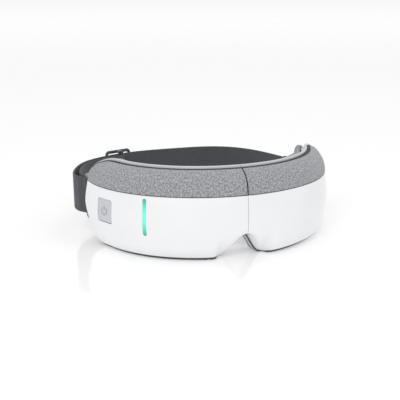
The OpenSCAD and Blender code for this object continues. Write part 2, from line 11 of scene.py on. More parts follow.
import bmesh
import bpy
import numpy as np
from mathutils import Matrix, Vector
from mathutils.bvhtree import BVHTree


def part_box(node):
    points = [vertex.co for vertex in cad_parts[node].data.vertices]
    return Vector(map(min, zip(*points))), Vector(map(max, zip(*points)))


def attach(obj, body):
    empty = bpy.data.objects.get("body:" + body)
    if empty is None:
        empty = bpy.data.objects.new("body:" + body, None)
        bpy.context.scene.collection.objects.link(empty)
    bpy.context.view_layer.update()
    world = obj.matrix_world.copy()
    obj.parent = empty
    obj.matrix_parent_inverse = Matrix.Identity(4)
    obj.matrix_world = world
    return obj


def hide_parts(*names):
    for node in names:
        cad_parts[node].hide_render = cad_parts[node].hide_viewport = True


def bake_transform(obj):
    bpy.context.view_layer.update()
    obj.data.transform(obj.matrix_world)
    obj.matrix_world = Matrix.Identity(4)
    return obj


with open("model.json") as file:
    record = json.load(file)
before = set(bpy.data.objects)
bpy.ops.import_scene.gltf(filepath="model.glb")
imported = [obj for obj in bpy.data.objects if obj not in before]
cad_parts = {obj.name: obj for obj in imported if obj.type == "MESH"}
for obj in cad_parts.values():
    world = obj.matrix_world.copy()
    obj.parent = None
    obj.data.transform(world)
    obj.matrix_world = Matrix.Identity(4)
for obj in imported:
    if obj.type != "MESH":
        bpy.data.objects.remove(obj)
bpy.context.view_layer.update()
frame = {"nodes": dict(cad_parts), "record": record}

MM = 0.001
SIDES = {"left": -1, "right": 1}


def node_box(node):
    """Lowest and highest corner of a CAD node, in mm."""
    low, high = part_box(node)
    return np.array(low) / MM, np.array(high) / MM


# ---------- driving dimensions, read from the frame ----------
SEAM_GAP = 0.3
GROOVE = 0.4
FABRIC_END = 1.2  # how far the fabric stops short of the temple tip
fabric_low, fabric_high = node_box("fabric_cover_right")
strap_low, strap_high = node_box("elastic_strap")
PLAN_A = fabric_high[0] - SEAM_GAP / 2
FOLD_INSET = -fabric_low[1]
PLAN_B = fabric_high[1] + FOLD_INSET + FABRIC_END
SPLIT_Z = fabric_low[2] - GROOVE
TOP_Z = fabric_high[2]

# ---------- form of the mask, as in the CAD ----------
NOSE_H = 18.4
NOSE_HALF_W = 19.0
REAR_INSET = 16.8  # where the shell's bottom edge ends
TRIM_INSET = 15.0  # where the fabric's top edge ends
UPPER_CORNER = 27.0  # side view radii of the temple's corners
LOWER_CORNER = 23.0
TAPER_LEN = 30.0  # length over which the mask thins towards the temple tip
BOTTOM_ROUND = 13.0  # plan depth of the rounded bottom edge
NOSE_ROUND = 16.5  # the same beside the nose
BOTTOM_RISE = 14.0  # height of the rounded bottom edge
SEAM_RISE = 3.5  # the same at the centre seam
LOBE_X = 15.0  # where that height is reached
LOBE_LIFT = 8.3  # how much higher the rounding reaches beside the nose
LIFT_X = 18.4
LIFT_W = 6.3
TOE_X = 24.4  # where the bottom edge reaches furthest forwards
TOE_REACH = 3.9
TOE_W = 3.8
FRONT_BULGE = 0.8  # how far the white face swells at the centre, and at the temples
TEMPLE_BULGE = 2.3
SHELL_WALL = 2.2
SHADE_STRIP_H = 1.0  # how high the shell's bottom edge stands on its dark strip, which is painted contact shade
SHADE_STRIP_START = 21.0  # where the dark strip of painted shade starts to come forward beside the nose
END_WALL = 1.8
HOUSING_WALL = 3.0
NOSE_LIP = 2.5  # how far the housing stands out into the nose opening
TIP_LIP = 2.2  # and beyond the shell's tip
FLANGE_T = 89.75  # from here the housing reaches out to the mask's outside
FLANGE_END = 91.4
FLANGE_D = 0.5
RIM_W = 2.4
RIM_TOP = 1.8
RIM_LIP = 3.0  # how much further than the shell the rim and the fabric reach at the temple's corner


def sind(a):
    return np.sin(np.radians(a))


def cosd(a):
    return np.cos(np.radians(a))


def smooth(u):
    u = np.clip(u, 0, 1)
    return u * u * (3 - 2 * u)


def arc_speed(t):
    return np.hypot(PLAN_A * cosd(t), PLAN_B * sind(t))


def on_plan(t, d):
    """Plan point at angle t and inset d."""
    speed = arc_speed(t)
    x = (PLAN_A - d * PLAN_B / speed) * sind(t)
    y = PLAN_B * (1 - cosd(t)) + d * PLAN_A * cosd(t) / speed - FOLD_INSET
    return x, y


def tip_gap(t):
    return np.maximum(0, PLAN_B * cosd(t))


def t_at_gap(gap):
    return math.degrees(math.acos(gap / PLAN_B))


def t_at_x(x):
    return math.degrees(math.asin(x / PLAN_A))


def corner(s, r):
    """Depth lost by a rounded corner of radius r, at a distance s from its end."""
    return r - np.sqrt(np.maximum(0, r * r - np.maximum(0, r - s) ** 2))


def taper(t):
    return max(0.16, sind(90 * min(1, tip_gap(t) / TAPER_LEN)) ** 0.75)


def trim_taper(t):
    """The fabric and the rim thin sooner than the shell does."""
    return taper(t) ** 1.8 + 0.08 * (1 - taper(t))


def nose(t):
    return NOSE_H * (1 + cosd(180 * min(1, PLAN_A * sind(t) / NOSE_HALF_W))) / 2


def low_z(t, grow=0):
    return nose(t) + corner(tip_gap(t) + grow, LOWER_CORNER)


def high_z(t, grow=0):
    return TOP_Z - corner(tip_gap(t) + grow, UPPER_CORNER)


# ---------- curves ----------
def lengths(p):
    """Length along a line of points, up to each of them."""
    return np.concatenate([[0], np.cumsum(np.linalg.norm(np.diff(p, axis=0), axis=1))])


def directions(p):
    """Unit tangents of a line of points."""
    v = np.gradient(p, axis=0)
    return v / np.linalg.norm(v, axis=1)[:, None]


def left_normals(p):
    """Unit normals on the left of a plan line."""
    v = directions(p)
    return np.stack([-v[:, 1], v[:, 0]], axis=1)


def spline(points, count):
    """A natural cubic spline through the points, spaced by their chords, as count points."""
    p = np.array(points, float)
    s = lengths(p)
    n, h = len(p), np.diff(s)
    system, right = np.eye(n), np.zeros_like(p)
    for i in range(1, n - 1):
        system[i, i - 1 : i + 2] = h[i - 1], 2 * (h[i - 1] + h[i]), h[i]
        right[i] = 6 * ((p[i + 1] - p[i]) / h[i] - (p[i] - p[i - 1]) / h[i - 1])
    bend = np.linalg.solve(system, right)
    at = np.linspace(0, s[-1], count)
    k = np.clip(np.searchsorted(s, at, side="right") - 1, 0, n - 2)
    a, b = ((s[k + 1] - at) / h[k])[:, None], ((at - s[k]) / h[k])[:, None]
    h2 = (h[k] ** 2)[:, None]
    return a * p[k] + b * p[k + 1] + ((a**3 - a) * bend[k] + (b**3 - b) * bend[k + 1]) * h2 / 6


def rounded(points, radius, steps=4, is_closed=True):
    """The polyline with each corner cut back by radius, or less on short sides, and bent round."""
    p = np.array(points, float)
    n = len(p)
    radii = np.broadcast_to(radius, n)
    out = []
    for i in range(n):
        if not is_closed and i in (0, n - 1):
            out.append(p[i])
            continue
        before, after = p[i - 1] - p[i], p[(i + 1) % n] - p[i]
        cuts = [min(radii[i], 0.49 * np.linalg.norm(v)) / np.linalg.norm(v) for v in (before, after)]
        start, stop = p[i] + before * cuts[0], p[i] + after * cuts[1]
        for u in np.linspace(0, 1, steps + 1):
            out.append((1 - u) ** 2 * start + 2 * u * (1 - u) * p[i] + u * u * stop)
    return np.array(out)


def inward(profile, w):
    """Shifts a profile of (inset, z) points by w towards the mask's inside."""
    v = np.empty_like(profile)
    v[1:-1] = profile[2:] - profile[:-2]
    v[0], v[-1] = profile[1] - profile[0], profile[-1] - profile[-2]
    v /= np.linalg.norm(v, axis=1)[:, None]
    return profile + w * np.stack([v[:, 1], -v[:, 0]], axis=1)


def section(t, loop):
    """A closed loop of (inset, z) points as 3-D points at t."""
    x, y = on_plan(t, loop[:, 0])
    return np.stack([x, y, loop[:, 1]], axis=1)


# ---------- meshes ----------
def added(name, data):
    """A new object in the scene."""
    obj = bpy.data.objects.new(name, data)
    bpy.context.scene.collection.objects.link(obj)
    return obj


def ring_faces(rings, m):
    """Quads between neighbouring rings of m points."""
    steps = [(k * m, i, (i + 1) % m) for k in range(rings - 1) for i in range(m)]
    return [(k + i, k + j, k + m + j, k + m + i) for k, i, j in steps]


def new_object(name, verts, faces, uvs=None, side=1, sharp=35):
    """A smooth-shaded object from points in mm on the +X side. uvs holds one (u, v) in mm per loop."""
    v = np.array(verts, float)
    if side:
        v[:, 0] = side * (v[:, 0] + SEAM_GAP / 2)
    mesh = bpy.data.meshes.new(name)
    mesh.from_pydata([tuple(q) for q in v * MM], [], faces)
    if uvs is not None:
        layer = mesh.uv_layers.new(name="Weave")
        layer.data.foreach_set("uv", np.array(uvs, np.float32).ravel())
    bm = bmesh.new()
    bm.from_mesh(mesh)
    bmesh.ops.recalc_face_normals(bm, faces=bm.faces)
    bm.to_mesh(mesh)
    bm.free()
    mesh.shade_smooth()
    mesh.set_sharp_from_angle(angle=math.radians(sharp))
    return added(name, mesh)


def loft(name, sections, side=1, sharp=35, capped=True):
    """Skins closed sections that have equal numbers of points, with lengths in mm as UVs."""
    s = np.array(sections, float)
    n, m = s.shape[:2]
    along = lengths(s.mean(axis=1))
    ring = np.linalg.norm(np.diff(np.concatenate([s, s[:, :1]], axis=1), axis=1), axis=2)
    across = np.concatenate([[0], np.cumsum(ring.mean(axis=0))])
    faces, uvs = ring_faces(n, m), []
    for start, stop in zip(along, along[1:]):
        for low, high in zip(across, across[1:]):
            uvs += [(start, low), (start, high), (stop, high), (stop, low)]
    if capped:
        for k in (0, n - 1):
            faces.append(tuple(k * m + i for i in range(m)))
            uvs += [(along[k], across[i]) for i in range(m)]
    return new_object(name, s.reshape(-1, 3), faces, uvs, side, sharp)


def joined(name, parts):
    """One object made of several meshes, in metres, which are used up."""
    bm = bmesh.new()
    for part in parts:
        bm.from_mesh(part.data)
        bpy.data.objects.remove(part)
    mesh = bpy.data.meshes.new(name)
    bm.to_mesh(mesh)
    bm.free()
    return added(name, mesh)


def apply_modifiers(obj):
    graph = bpy.context.evaluated_depsgraph_get()
    mesh = bpy.data.meshes.new_from_object(obj.evaluated_get(graph), depsgraph=graph)
    obj.modifiers.clear()
    obj.data = mesh


def cut(obj, cutters):
    """Takes the cutters' volume out of obj."""
    for cutter in cutters:
        modifier = obj.modifiers.new("cut", "BOOLEAN")
        modifier.object = cutter
        modifier.solver = "EXACT"
    apply_modifiers(obj)
    for cutter in cutters:
        bpy.data.objects.remove(cutter)
    obj.data.set_sharp_from_angle(angle=math.radians(35))


def place(obj, body, slot, material, *nodes):
    """Gives a piece its body and material, and hides the CAD nodes it stands for. slot, its finish, is not
    used.
    """
    obj.data.materials.clear()
    obj.data.materials.append(material)
    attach(obj, body)
    if nodes:
        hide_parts(*nodes)
    return obj


# ---------- materials ----------
class Shader:
    """A principled material with helpers that add and link nodes."""

    def __init__(self, name, colour=(0.8, 0.8, 0.8), roughness=0.5, **inputs):
        self.material = bpy.data.materials.new(name)
        self.material.use_nodes = True
        self.tree = self.material.node_tree
        self.base = self.tree.nodes["Principled BSDF"]
        self.base.inputs["Base Color"].default_value = (*colour, 1)
        self.base.inputs["Roughness"].default_value = roughness
        self.set_inputs(self.base, inputs)
        coordinates = self.add("ShaderNodeTexCoord")
        self.local, self.uv = coordinates.outputs["Object"], coordinates.outputs["UV"]

    def feed(self, socket, value):
        """Links an output to the socket, or sets the socket's value."""
        if isinstance(value, bpy.types.NodeSocket):
            self.tree.links.new(value, socket)
        else:
            socket.default_value = value

    def set_inputs(self, node, inputs):
        for key, value in inputs.items():
            self.feed(node.inputs[key.replace("_", " ")], value)

    def add(self, kind, properties=None, **inputs):
        node = self.tree.nodes.new(kind)
        for key, value in (properties or {}).items():
            setattr(node, key, value)
        self.set_inputs(node, inputs)
        return node

    def math(self, operation, a, b=0.0, c=0.0):
        node = self.tree.nodes.new("ShaderNodeMath")
        node.operation = operation
        for socket, value in zip(node.inputs, (a, b, c)):
            self.feed(socket, value)
        return node.outputs[0]

    def scaled(self, source, x, y, z=1.0):
        node = self.add("ShaderNodeMapping", Vector=source)
        node.inputs["Scale"].default_value = (x, y, z)
        return node.outputs[0]

    def noise(self, vector, scale, detail=2.0, roughness=0.5):
        node = self.add("ShaderNodeTexNoise", Vector=vector, Scale=scale, Detail=detail, Roughness=roughness)
        return node.outputs["Fac"]

    def mix(self, fac, a, b):
        """A colour between a and b, which are colours or sockets."""
        node = self.tree.nodes.new("ShaderNodeMix")
        node.data_type = "RGBA"
        for index, value in ((0, fac), (6, a), (7, b)):
            self.feed(node.inputs[index], (*value, 1) if isinstance(value, tuple) else value)
        return node.outputs[2]

    def spread(self, value, low, high):
        """Stretches a value so that low..high becomes 0..1."""
        node = self.add("ShaderNodeMapRange", Value=value)
        node.inputs["From Min"].default_value = low
        node.inputs["From Max"].default_value = high
        return node.outputs[0]

    def link(self, output, name):
        self.tree.links.new(output, self.base.inputs[name])

    def bump(self, height, distance, strength=1.0):
        node = self.add("ShaderNodeBump", Height=height, Strength=strength, Distance=distance)
        self.link(node.outputs[0], "Normal")


def plastic(name, colour, roughness, grain=900.0, depth=0.00003, gloss=0.0):
    """Moulded plastic: a fine grain, faint cloudiness in its colour, and uneven gloss."""
    s = Shader(name, colour, roughness, Coat_Weight=gloss, Coat_Roughness=0.08)
    cloud = s.noise(s.local, 18.0, 3.0)
    fine = s.noise(s.local, grain, 2.0)
    dim = tuple(c * 0.94 for c in colour)
    s.link(s.mix(s.spread(cloud, 0.3, 0.7), dim, colour), "Base Color")
    s.link(s.math("MULTIPLY_ADD", cloud, 0.16, roughness - 0.08), "Roughness")
    s.bump(fine, depth)
    return s.material


def metal(name, colour, roughness, stretch=(40.0, 40.0, 900.0)):
    """Metal with fine lines along one direction."""
    s = Shader(name, colour, roughness, Metallic=1.0)
    lines = s.noise(s.scaled(s.local, *stretch), 1.0, 3.0)
    s.link(s.mix(lines, tuple(c * 0.8 for c in colour), colour), "Base Color")
    s.link(s.math("MULTIPLY_ADD", lines, 0.2, roughness - 0.1), "Roughness")
    s.bump(lines, 0.00002)
    return s.material


def weave(s, thread_u, thread_v, run):
    """Over-and-under height and per-thread shades of a plain weave, from UVs in mm."""
    split = s.add("ShaderNodeSeparateXYZ", Vector=s.uv)
    wobble = s.math("MULTIPLY", s.noise(s.scaled(s.uv, 0.6, 0.6), 1.0, 2.0), 1.2)
    u = s.math("ADD", split.outputs[0], wobble)
    v = s.math("ADD", split.outputs[1], wobble)
    turn_u = s.math("MULTIPLY", u, math.pi / thread_u)
    turn_v = s.math("MULTIPLY", v, math.pi / thread_v)
    sine_u, sine_v = s.math("SINE", turn_u), s.math("SINE", turn_v)
    over = s.spread(s.math("MULTIPLY", sine_u, sine_v), -0.15, 0.15)
    across = s.math("ABSOLUTE", s.math("COSINE", turn_u))
    along = s.math("ABSOLUTE", s.math("COSINE", turn_v))
    warp_shade = s.noise(s.scaled(s.uv, 1 / thread_u, 1 / run), 1.0, 3.0, 0.7)
    weft_shade = s.noise(s.scaled(s.uv, 1 / run, 1 / thread_v), 1.3, 3.0, 0.7)
    return over, across, along, warp_shade, weft_shade


def heather():
    """Melange upholstery cloth: light and dark yarns crossing."""
    s = Shader("heather_cloth", roughness=0.95, Sheen_Weight=0.25, Sheen_Roughness=0.5)
    over, across, along, warp, weft = weave(s, 0.62, 0.62, 2.4)
    pick = s.add("ShaderNodeMix", Factor=over, A=warp, B=weft)
    shade = s.spread(pick.outputs[0], 0.38, 0.62)
    coarse = s.noise(s.uv, 0.75, 3.0, 0.75)
    shade = s.math("MULTIPLY_ADD", s.spread(coarse, 0.38, 0.62), 0.5, s.math("MULTIPLY", shade, 0.5))
    s.link(s.mix(shade, (0.06, 0.064, 0.072), (0.6, 0.61, 0.64)), "Base Color")
    height = s.add("ShaderNodeMix", Factor=over, A=along, B=across)
    s.bump(height.outputs[0], 0.00016, 0.7)
    return s.material


def webbing():
    """Elastic webbing: fine ribs along it, crossed by a tighter weft."""
    s = Shader("dark_webbing", roughness=0.85, Sheen_Weight=0.15)
    over, across, along, warp, weft = weave(s, 0.9, 0.6, 6.0)
    pick = s.add("ShaderNodeMix", Factor=over, A=warp, B=weft)
    shade = s.spread(pick.outputs[0], 0.25, 0.75)
    s.link(s.mix(shade, (0.043, 0.047, 0.054), (0.082, 0.088, 0.098)), "Base Color")
    height = s.add("ShaderNodeMix", Factor=over, A=along, B=across)
    s.bump(height.outputs[0], 0.0002, 0.6)
    return s.material


def leather(name, colour, through=0.0):
    """Soft grained synthetic leather. through is a painted glow, emission that stands in for light coming
    through a thin skin.
    """
    s = Shader(name, colour, 0.5, Coat_Weight=0.08, Coat_Roughness=0.4, Emission_Strength=through)
    # Painted glow, in the skin's own colour.
    s.base.inputs["Emission Color"].default_value = (*colour, 1)
    cells = s.add("ShaderNodeTexVoronoi", Vector=s.local, Scale=900.0)
    cloud = s.noise(s.local, 30.0, 3.0)
    dark = tuple(c * 0.82 for c in colour)
    s.link(s.mix(s.spread(cloud, 0.3, 0.7), dark, colour), "Base Color")
    s.link(s.math("MULTIPLY_ADD", cloud, 0.2, 0.42), "Roughness")
    s.bump(cells.outputs["Distance"], 0.00012, 0.5)
    return s.material


def mesh_cloth(name, colour):
    """Breathable spacer mesh: a knit whose small holes are painted dark, as painted shade in the openings.
    """
    s = Shader(name, colour, 0.8, Sheen_Weight=0.2)
    holes = s.add("ShaderNodeTexVoronoi", Vector=s.local, Scale=620.0, Randomness=0.15)
    solid = s.spread(holes.outputs["Distance"], 0.22, 0.34)
    # Darker in the holes: painted shade inside the openings.
    s.link(s.mix(solid, tuple(c * 0.25 for c in colour), colour), "Base Color")
    s.bump(solid, 0.0003, 0.6)
    return s.material


def lit_lens():
    """The status light: brightest in its middle and deeper towards its ends."""
    s = Shader("lit_lens", (0.1, 0.7, 0.55), 0.3)
    low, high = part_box("light_bar")
    split = s.add("ShaderNodeSeparateXYZ", Vector=s.local)
    share = s.spread(split.outputs[2], low.z, high.z)
    middle = s.math("SINE", s.math("MULTIPLY", share, math.pi))
    speckle = s.noise(s.local, 700.0, 2.0)
    glow = s.math("MULTIPLY", s.math("POWER", middle, 1.3), s.math("MULTIPLY_ADD", speckle, 0.1, 0.95))
    s.link(s.mix(glow, (0.02, 0.16, 0.12), (0.08, 0.37, 0.29)), "Base Color")
    s.link(s.mix(glow, (0.035, 0.3, 0.21), (0.17, 0.8, 0.61)), "Emission Color")
    s.base.inputs["Emission Strength"].default_value = 0.8
    return s.material


def board_mask():
    """Solder mask with copper runs showing through."""
    s = Shader("solder_mask", (0.02, 0.16, 0.06), 0.35, Coat_Weight=0.4)
    runs = s.add("ShaderNodeTexBrick", Vector=s.local, Scale=260.0)
    runs.inputs["Color1"].default_value = (0.015, 0.13, 0.05, 1)
    runs.inputs["Color2"].default_value = (0.02, 0.17, 0.07, 1)
    runs.inputs["Mortar"].default_value = (0.05, 0.27, 0.1, 1)
    s.link(runs.outputs["Color"], "Base Color")
    s.bump(runs.outputs["Fac"], 0.00004)
    return s.material


def film(name, colour, stripe):
    """Thin film with printed conductors as stripes."""
    s = Shader(name, colour, 0.3, Coat_Weight=0.3)
    bands = s.add("ShaderNodeTexWave", {"bands_direction": "Z"}, Vector=s.local, Scale=150.0)
    s.link(s.mix(s.spread(bands.outputs["Fac"], 0.45, 0.55), colour, stripe), "Base Color")
    s.bump(bands.outputs["Fac"], 0.00003)
    return s.material


def silicone(name, colour):
    """Milky translucent rubber."""
    s = Shader(name, colour, 0.4, Subsurface_Weight=0.3, Subsurface_Scale=0.002)
    cloud = s.noise(s.local, 60.0, 3.0)
    s.link(s.mix(cloud, tuple(c * 0.9 for c in colour), colour), "Base Color")
    s.bump(s.noise(s.local, 500.0), 0.00004)
    return s.material


MATERIALS = {
    "white_shell": plastic("gloss_white", (0.9, 0.905, 0.915), 0.24, 300.0, 0.000004, 0.6),
    "heather_fabric": heather(),
    # The carrier is near-black; where its lips fill the grooves round the cloth, that dark is painted shade
    # for the grooves.
    "trim_carrier": plastic("carrier_dark", (0.03, 0.03, 0.034), 0.6),
    "rim_plastic": plastic("rim_satin", (0.58, 0.59, 0.61), 0.2, gloss=0.6),
    "cushion_skin": leather("cushion_skin", (0.27, 0.31, 0.31)),
    "bladder_film": silicone("bladder_film", (0.72, 0.73, 0.68)),
    "heating_film": film("heating_film", (0.5, 0.24, 0.06), (0.62, 0.4, 0.2)),
    "speaker": plastic("speaker_black", (0.02, 0.02, 0.022), 0.5),
    "motor_can": metal("motor_can", (0.6, 0.6, 0.62), 0.3),
    "steel": metal("brushed_steel", (0.62, 0.63, 0.65), 0.32),
    "ribbon_cable": film("ribbon_cable", (0.5, 0.25, 0.06), (0.7, 0.45, 0.2)),
    "tube_silicone": silicone("tube_silicone", (0.75, 0.75, 0.73)),
    "circuit_board": board_mask(),
    "light_lens": lit_lens(),
    "switch_body": plastic("switch_black", (0.018, 0.018, 0.02), 0.45),
    "webbing": webbing(),
    "battery_foil": metal("battery_foil", (0.7, 0.72, 0.74), 0.4, (120.0, 120.0, 120.0)),
    "button_cap": plastic("button_satin", (0.6, 0.6, 0.65), 0.4, gloss=0.2),
    "massage_plate": silicone("massage_rubber", (0.07, 0.073, 0.08)),
    "weight_metal": metal("sintered_weight", (0.3, 0.28, 0.25), 0.5, (300.0, 300.0, 300.0)),
    "slider_plastic": plastic("slider_dark", (0.05, 0.053, 0.06), 0.36, gloss=0.3),
}
PAD_MESH = mesh_cloth("pad_mesh", (0.1, 0.115, 0.12))
# The flap's skin glows: a painted glow that lightens it where it sits in shade in the nose opening.
GUSSET_CLOTH = leather("gusset_skin", (0.88, 0.88, 0.89), 0.32)
# Near-black strips that paint the shade under the shell's bottom edge and in the gap behind the housing in
# the nose opening.
SHADE_STRIP_DARK = plastic("painted_shade_strip", (0.07, 0.07, 0.075), 0.6)
ANCHOR_GREY = plastic("anchor_grey", (0.2, 0.205, 0.215), 0.4)
THREAD = plastic("sewing_thread", (0.5, 0.53, 0.53), 0.7)
SYMBOL = plastic("symbol_grey", (0.3, 0.3, 0.34), 0.5)


# ---------- stations ----------
NEAR_X = 30.0  # closer to the seam than this, stations stand closer together
CLOSE_GAP = 8.0  # closer to the tip than this, a cover is solid


def spaced(start, stop, count):
    return list(np.linspace(start, stop, count, endpoint=False))


def eased(start, stop, count):
    return list(start + (stop - start) * sind(np.linspace(0, 90, count)))


def cover_stations(tip, round_x, start=0.0):
    """(t, solid, inset) stations of a hollow cover, with rounded edges at the seam and the tip."""
    seam = round_x * (1 - cosd(np.array([0, 30, 60, 90])))
    t_wall, t_nose = t_at_x(END_WALL), t_at_x(NEAR_X)
    t_tip, t_close, t_end = t_at_gap(TAPER_LEN), t_at_gap(CLOSE_GAP), t_at_gap(tip)
    stations = [(t_at_x(x + start), True, float(corner(x, round_x))) for x in seam]
    stations += [(t_wall, True, 0.0)]
    stations += [(t, False, 0.0) for t in spaced(t_wall + 0.05, t_nose, 30)]
    stations += [(t, False, 0.0) for t in spaced(t_nose, t_tip, 36)]
    stations += [(t, False, 0.0) for t in eased(t_tip, t_close, 14)]
    for t in eased(t_close + 0.05, t_end, 18):
        past = (t - t_end) * math.pi / 180 * PLAN_B + round_x
        stations.append((t, True, float(corner(round_x - max(0, past), round_x))))
    return stations


# ---------- front shells ----------
def shell_profile(t, count=46):
    """The shell's outside at t, from its rear bottom edge up to the split line."""
    k, z0, x = taper(t), low_z(t), PLAN_A * sind(t)
    rise = (SEAM_RISE + (BOTTOM_RISE - SEAM_RISE) * smooth(x / LOBE_X)) * (0.25 + 0.75 * k)
    depth = NOSE_ROUND - (NOSE_ROUND - BOTTOM_ROUND) * smooth((x - NOSE_HALF_W + 1) / 14)
    depth -= TOE_REACH * math.exp(-(((x - TOE_X) / TOE_W) ** 2))
    lift = LOBE_LIFT * math.exp(-(((x - LIFT_X) / LIFT_W) ** 2))
    bulge = FRONT_BULGE + (TEMPLE_BULGE - FRONT_BULGE) * sind(t) ** 2
    zb = z0 + rise + lift
    turn = np.array([0, 22, 42, 60, 76, 90])
    up = np.array([0.3, 0.6, 1])
    foot = [(REAR_INSET * k, z0)]
    foot += list(zip(depth * k * (1 - sind(turn)), z0 + rise * (1 - cosd(turn)) + lift * sind(turn) ** 0.8))
    front = list(zip(-bulge * sind(180 * up**0.8), zb + (SPLIT_Z - zb) * up))
    strip = np.array(foot[:2])
    return np.concatenate([strip[:1], spline(foot[1:] + front, count)])


def shell_inset(t, z):
    """Inset of the shell's outside at t and height z, above its rounded bottom."""
    profile = shell_profile(t)
    upper = profile[np.argmin(profile[:, 1] < z - 12) :]
    return float(np.interp(z, upper[:, 1], upper[:, 0]))


def on_shell(t0, along, z, depth):
    """A point at a length along the plan curve from t0, and depth below the shell's outside."""
    t = t0 + math.degrees(along / arc_speed(t0))
    x, y = on_plan(t, shell_inset(t, z) + depth)
    return (x, y, z)


def shell(side):
    edge = 0.35
    sections = []
    for t, solid, extra in cover_stations(0.6, 0.35):
        outer = shell_profile(t)
        foot = outer[:, 1] - low_z(t)
        # Lifts the bottom edge so that it stands on the dark strip of painted contact shade.
        outer[:, 1] += SHADE_STRIP_H * np.clip(1 - foot / 8, 0, 1) ** 2
        rear = REAR_INSET * taper(t) + 0.2
        if extra:
            outer = inward(outer, extra)
        if solid:
            z = np.linspace(outer[0, 1], SPLIT_Z, len(outer))
            inner = np.stack([np.full(len(outer), rear), z], axis=1)
        else:
            inner = inward(outer, SHELL_WALL)
            inner[-1, 1] = SPLIT_Z
        lip = [(outer[-1, 0] + edge, SPLIT_Z)]
        outer[-1] = outer[-1, 0], SPLIT_Z - edge
        outer[-2, 1] = min(outer[-2, 1], SPLIT_Z - 1.4 * edge)
        bend = outer[-1] + np.array([edge, edge]) * np.array([0.29, 0.71])
        sections.append(section(t, np.concatenate([outer, [bend], lip, inner[::-1]])))
    return loft(f"shell_{side}", sections, SIDES[side])


# ---------- shapes laid on the shell ----------
def rounded_rectangle(width, height, radius, steps=6):
    """Outline of a rounded rectangle centred on zero."""
    out = []
    for sx, sz, start in ((1, 1, 0), (-1, 1, 90), (-1, -1, 180), (1, -1, 270)):
        for a in np.linspace(start, start + 90, steps + 1):
            x, z = sx * (width / 2 - radius), sz * (height / 2 - radius)
            out.append((x + radius * cosd(a), z + radius * sind(a)))
    return np.array(out)


def laid_on(name, t0, z0, outline, layers, rings=5, side="left"):
    """A plug in the shell. layers holds (grow, depth) pairs from the back to the front face."""
    width = outline.max(axis=0)
    loops = []
    for grow, depth in layers:
        loop = outline * (1 + grow / width)
        loops.append([on_shell(t0, p[0], z0 + p[1], depth) for p in loop])
    face = outline * (1 + layers[-1][0] / width)
    for k in range(1, rings):
        loops.append([on_shell(t0, p[0], z0 + p[1], layers[-1][1]) for p in face * (1 - k / rings)])
    m = len(outline)
    verts = [p for loop in loops for p in loop] + [on_shell(t0, 0, z0, layers[-1][1])]
    faces = ring_faces(len(loops), m)
    last = (len(loops) - 1) * m
    faces += [(last + i, last + (i + 1) % m, len(verts) - 1) for i in range(m)]
    faces.append(tuple(range(m)))
    return new_object(name, verts, faces, side=SIDES[side])


BUTTON_T = 68.5
BUTTON_Z = 33.7
BUTTON_SIZE = (16.6, 17.6)
BUTTON_CORNER = 1.6
LIGHT_T = 45.1
LIGHT_Z = 34.3
LIGHT_SIZE = (3.0, 28.5)
FLANGE_REACH = 1.2  # how far a plug's flange reaches past it behind the shell
SOCKET_T = 60.0
SOCKET_D = 14.2
SOCKET_MOUTH = (9.4, 3.7, 1.84)
BUTTON_GAP = 0.8  # how much wider than the button its hole is, for the outline round it
LIGHT_GAP = 0.1


def socket_mouth(name):
    """The hole for the charging socket, as a prism through the shell's flat strip."""
    x0, y0 = on_plan(SOCKET_T, SOCKET_D)
    heading = math.atan2(PLAN_B * sind(SOCKET_T), PLAN_A * cosd(SOCKET_T))
    outline = rounded_rectangle(*SOCKET_MOUTH)
    c, s = math.cos(heading), math.sin(heading)
    loops = [[(x0 + p[0] * c - p[1] * s, y0 + p[0] * s + p[1] * c, z) for p in outline] for z in (-1, 3)]
    return loft(name, loops, SIDES["left"])


def shell_cutters():
    button = rounded_rectangle(*(v + BUTTON_GAP for v in BUTTON_SIZE), BUTTON_CORNER + BUTTON_GAP / 2)
    light = rounded_rectangle(*(v + LIGHT_GAP for v in LIGHT_SIZE), LIGHT_SIZE[0] / 2)
    through = [(0, 5.0), (0, -2.0)]
    return [
        laid_on("cut_button", BUTTON_T, BUTTON_Z, button, through),
        laid_on("cut_light", LIGHT_T, LIGHT_Z, light, through),
        socket_mouth("cut_socket"),
    ]


def power_button():
    outline = rounded_rectangle(*BUTTON_SIZE, BUTTON_CORNER)
    layers = [(0, 5.6), (0, 0.7), (-0.06, 0.42), (-0.22, 0.27), (-0.5, 0.2)]
    cap = laid_on("button_cap", BUTTON_T, BUTTON_Z, outline, layers, rings=8)
    wide = rounded_rectangle(*(v + 2 * FLANGE_REACH for v in BUTTON_SIZE), BUTTON_CORNER + FLANGE_REACH)
    flange = laid_on("flange", BUTTON_T, BUTTON_Z, wide, [(0, 6.4), (0, 5.6)], 2)
    return joined("button_cap", [cap, flange])


def symbol_bar(line, width, depth=0.08):
    """A flat stroke on the button's face, along a line of (along, height) points."""
    p = np.array(line, float)
    n = left_normals(p) * width / 2
    sections = []
    for a, b in zip(p + n, p - n):
        corners = [(a, 0.35), (a, 0.2 - depth), (b, 0.2 - depth), (b, 0.35)]
        sections.append([on_shell(BUTTON_T, q[0], BUTTON_Z + q[1], d) for q, d in corners])
    return loft("stroke", sections, SIDES["left"])


def standby_symbol():
    radius, stroke = 3.0, 0.62
    turn = np.linspace(125, 415, 30)
    ring = symbol_bar(np.stack([radius * cosd(turn), radius * sind(turn)], axis=1), stroke)
    stem = symbol_bar([(0, 0.2), (0, 1.4), (0, 2.6), (0, 4.2)], stroke)
    return joined("standby_symbol", [ring, stem])


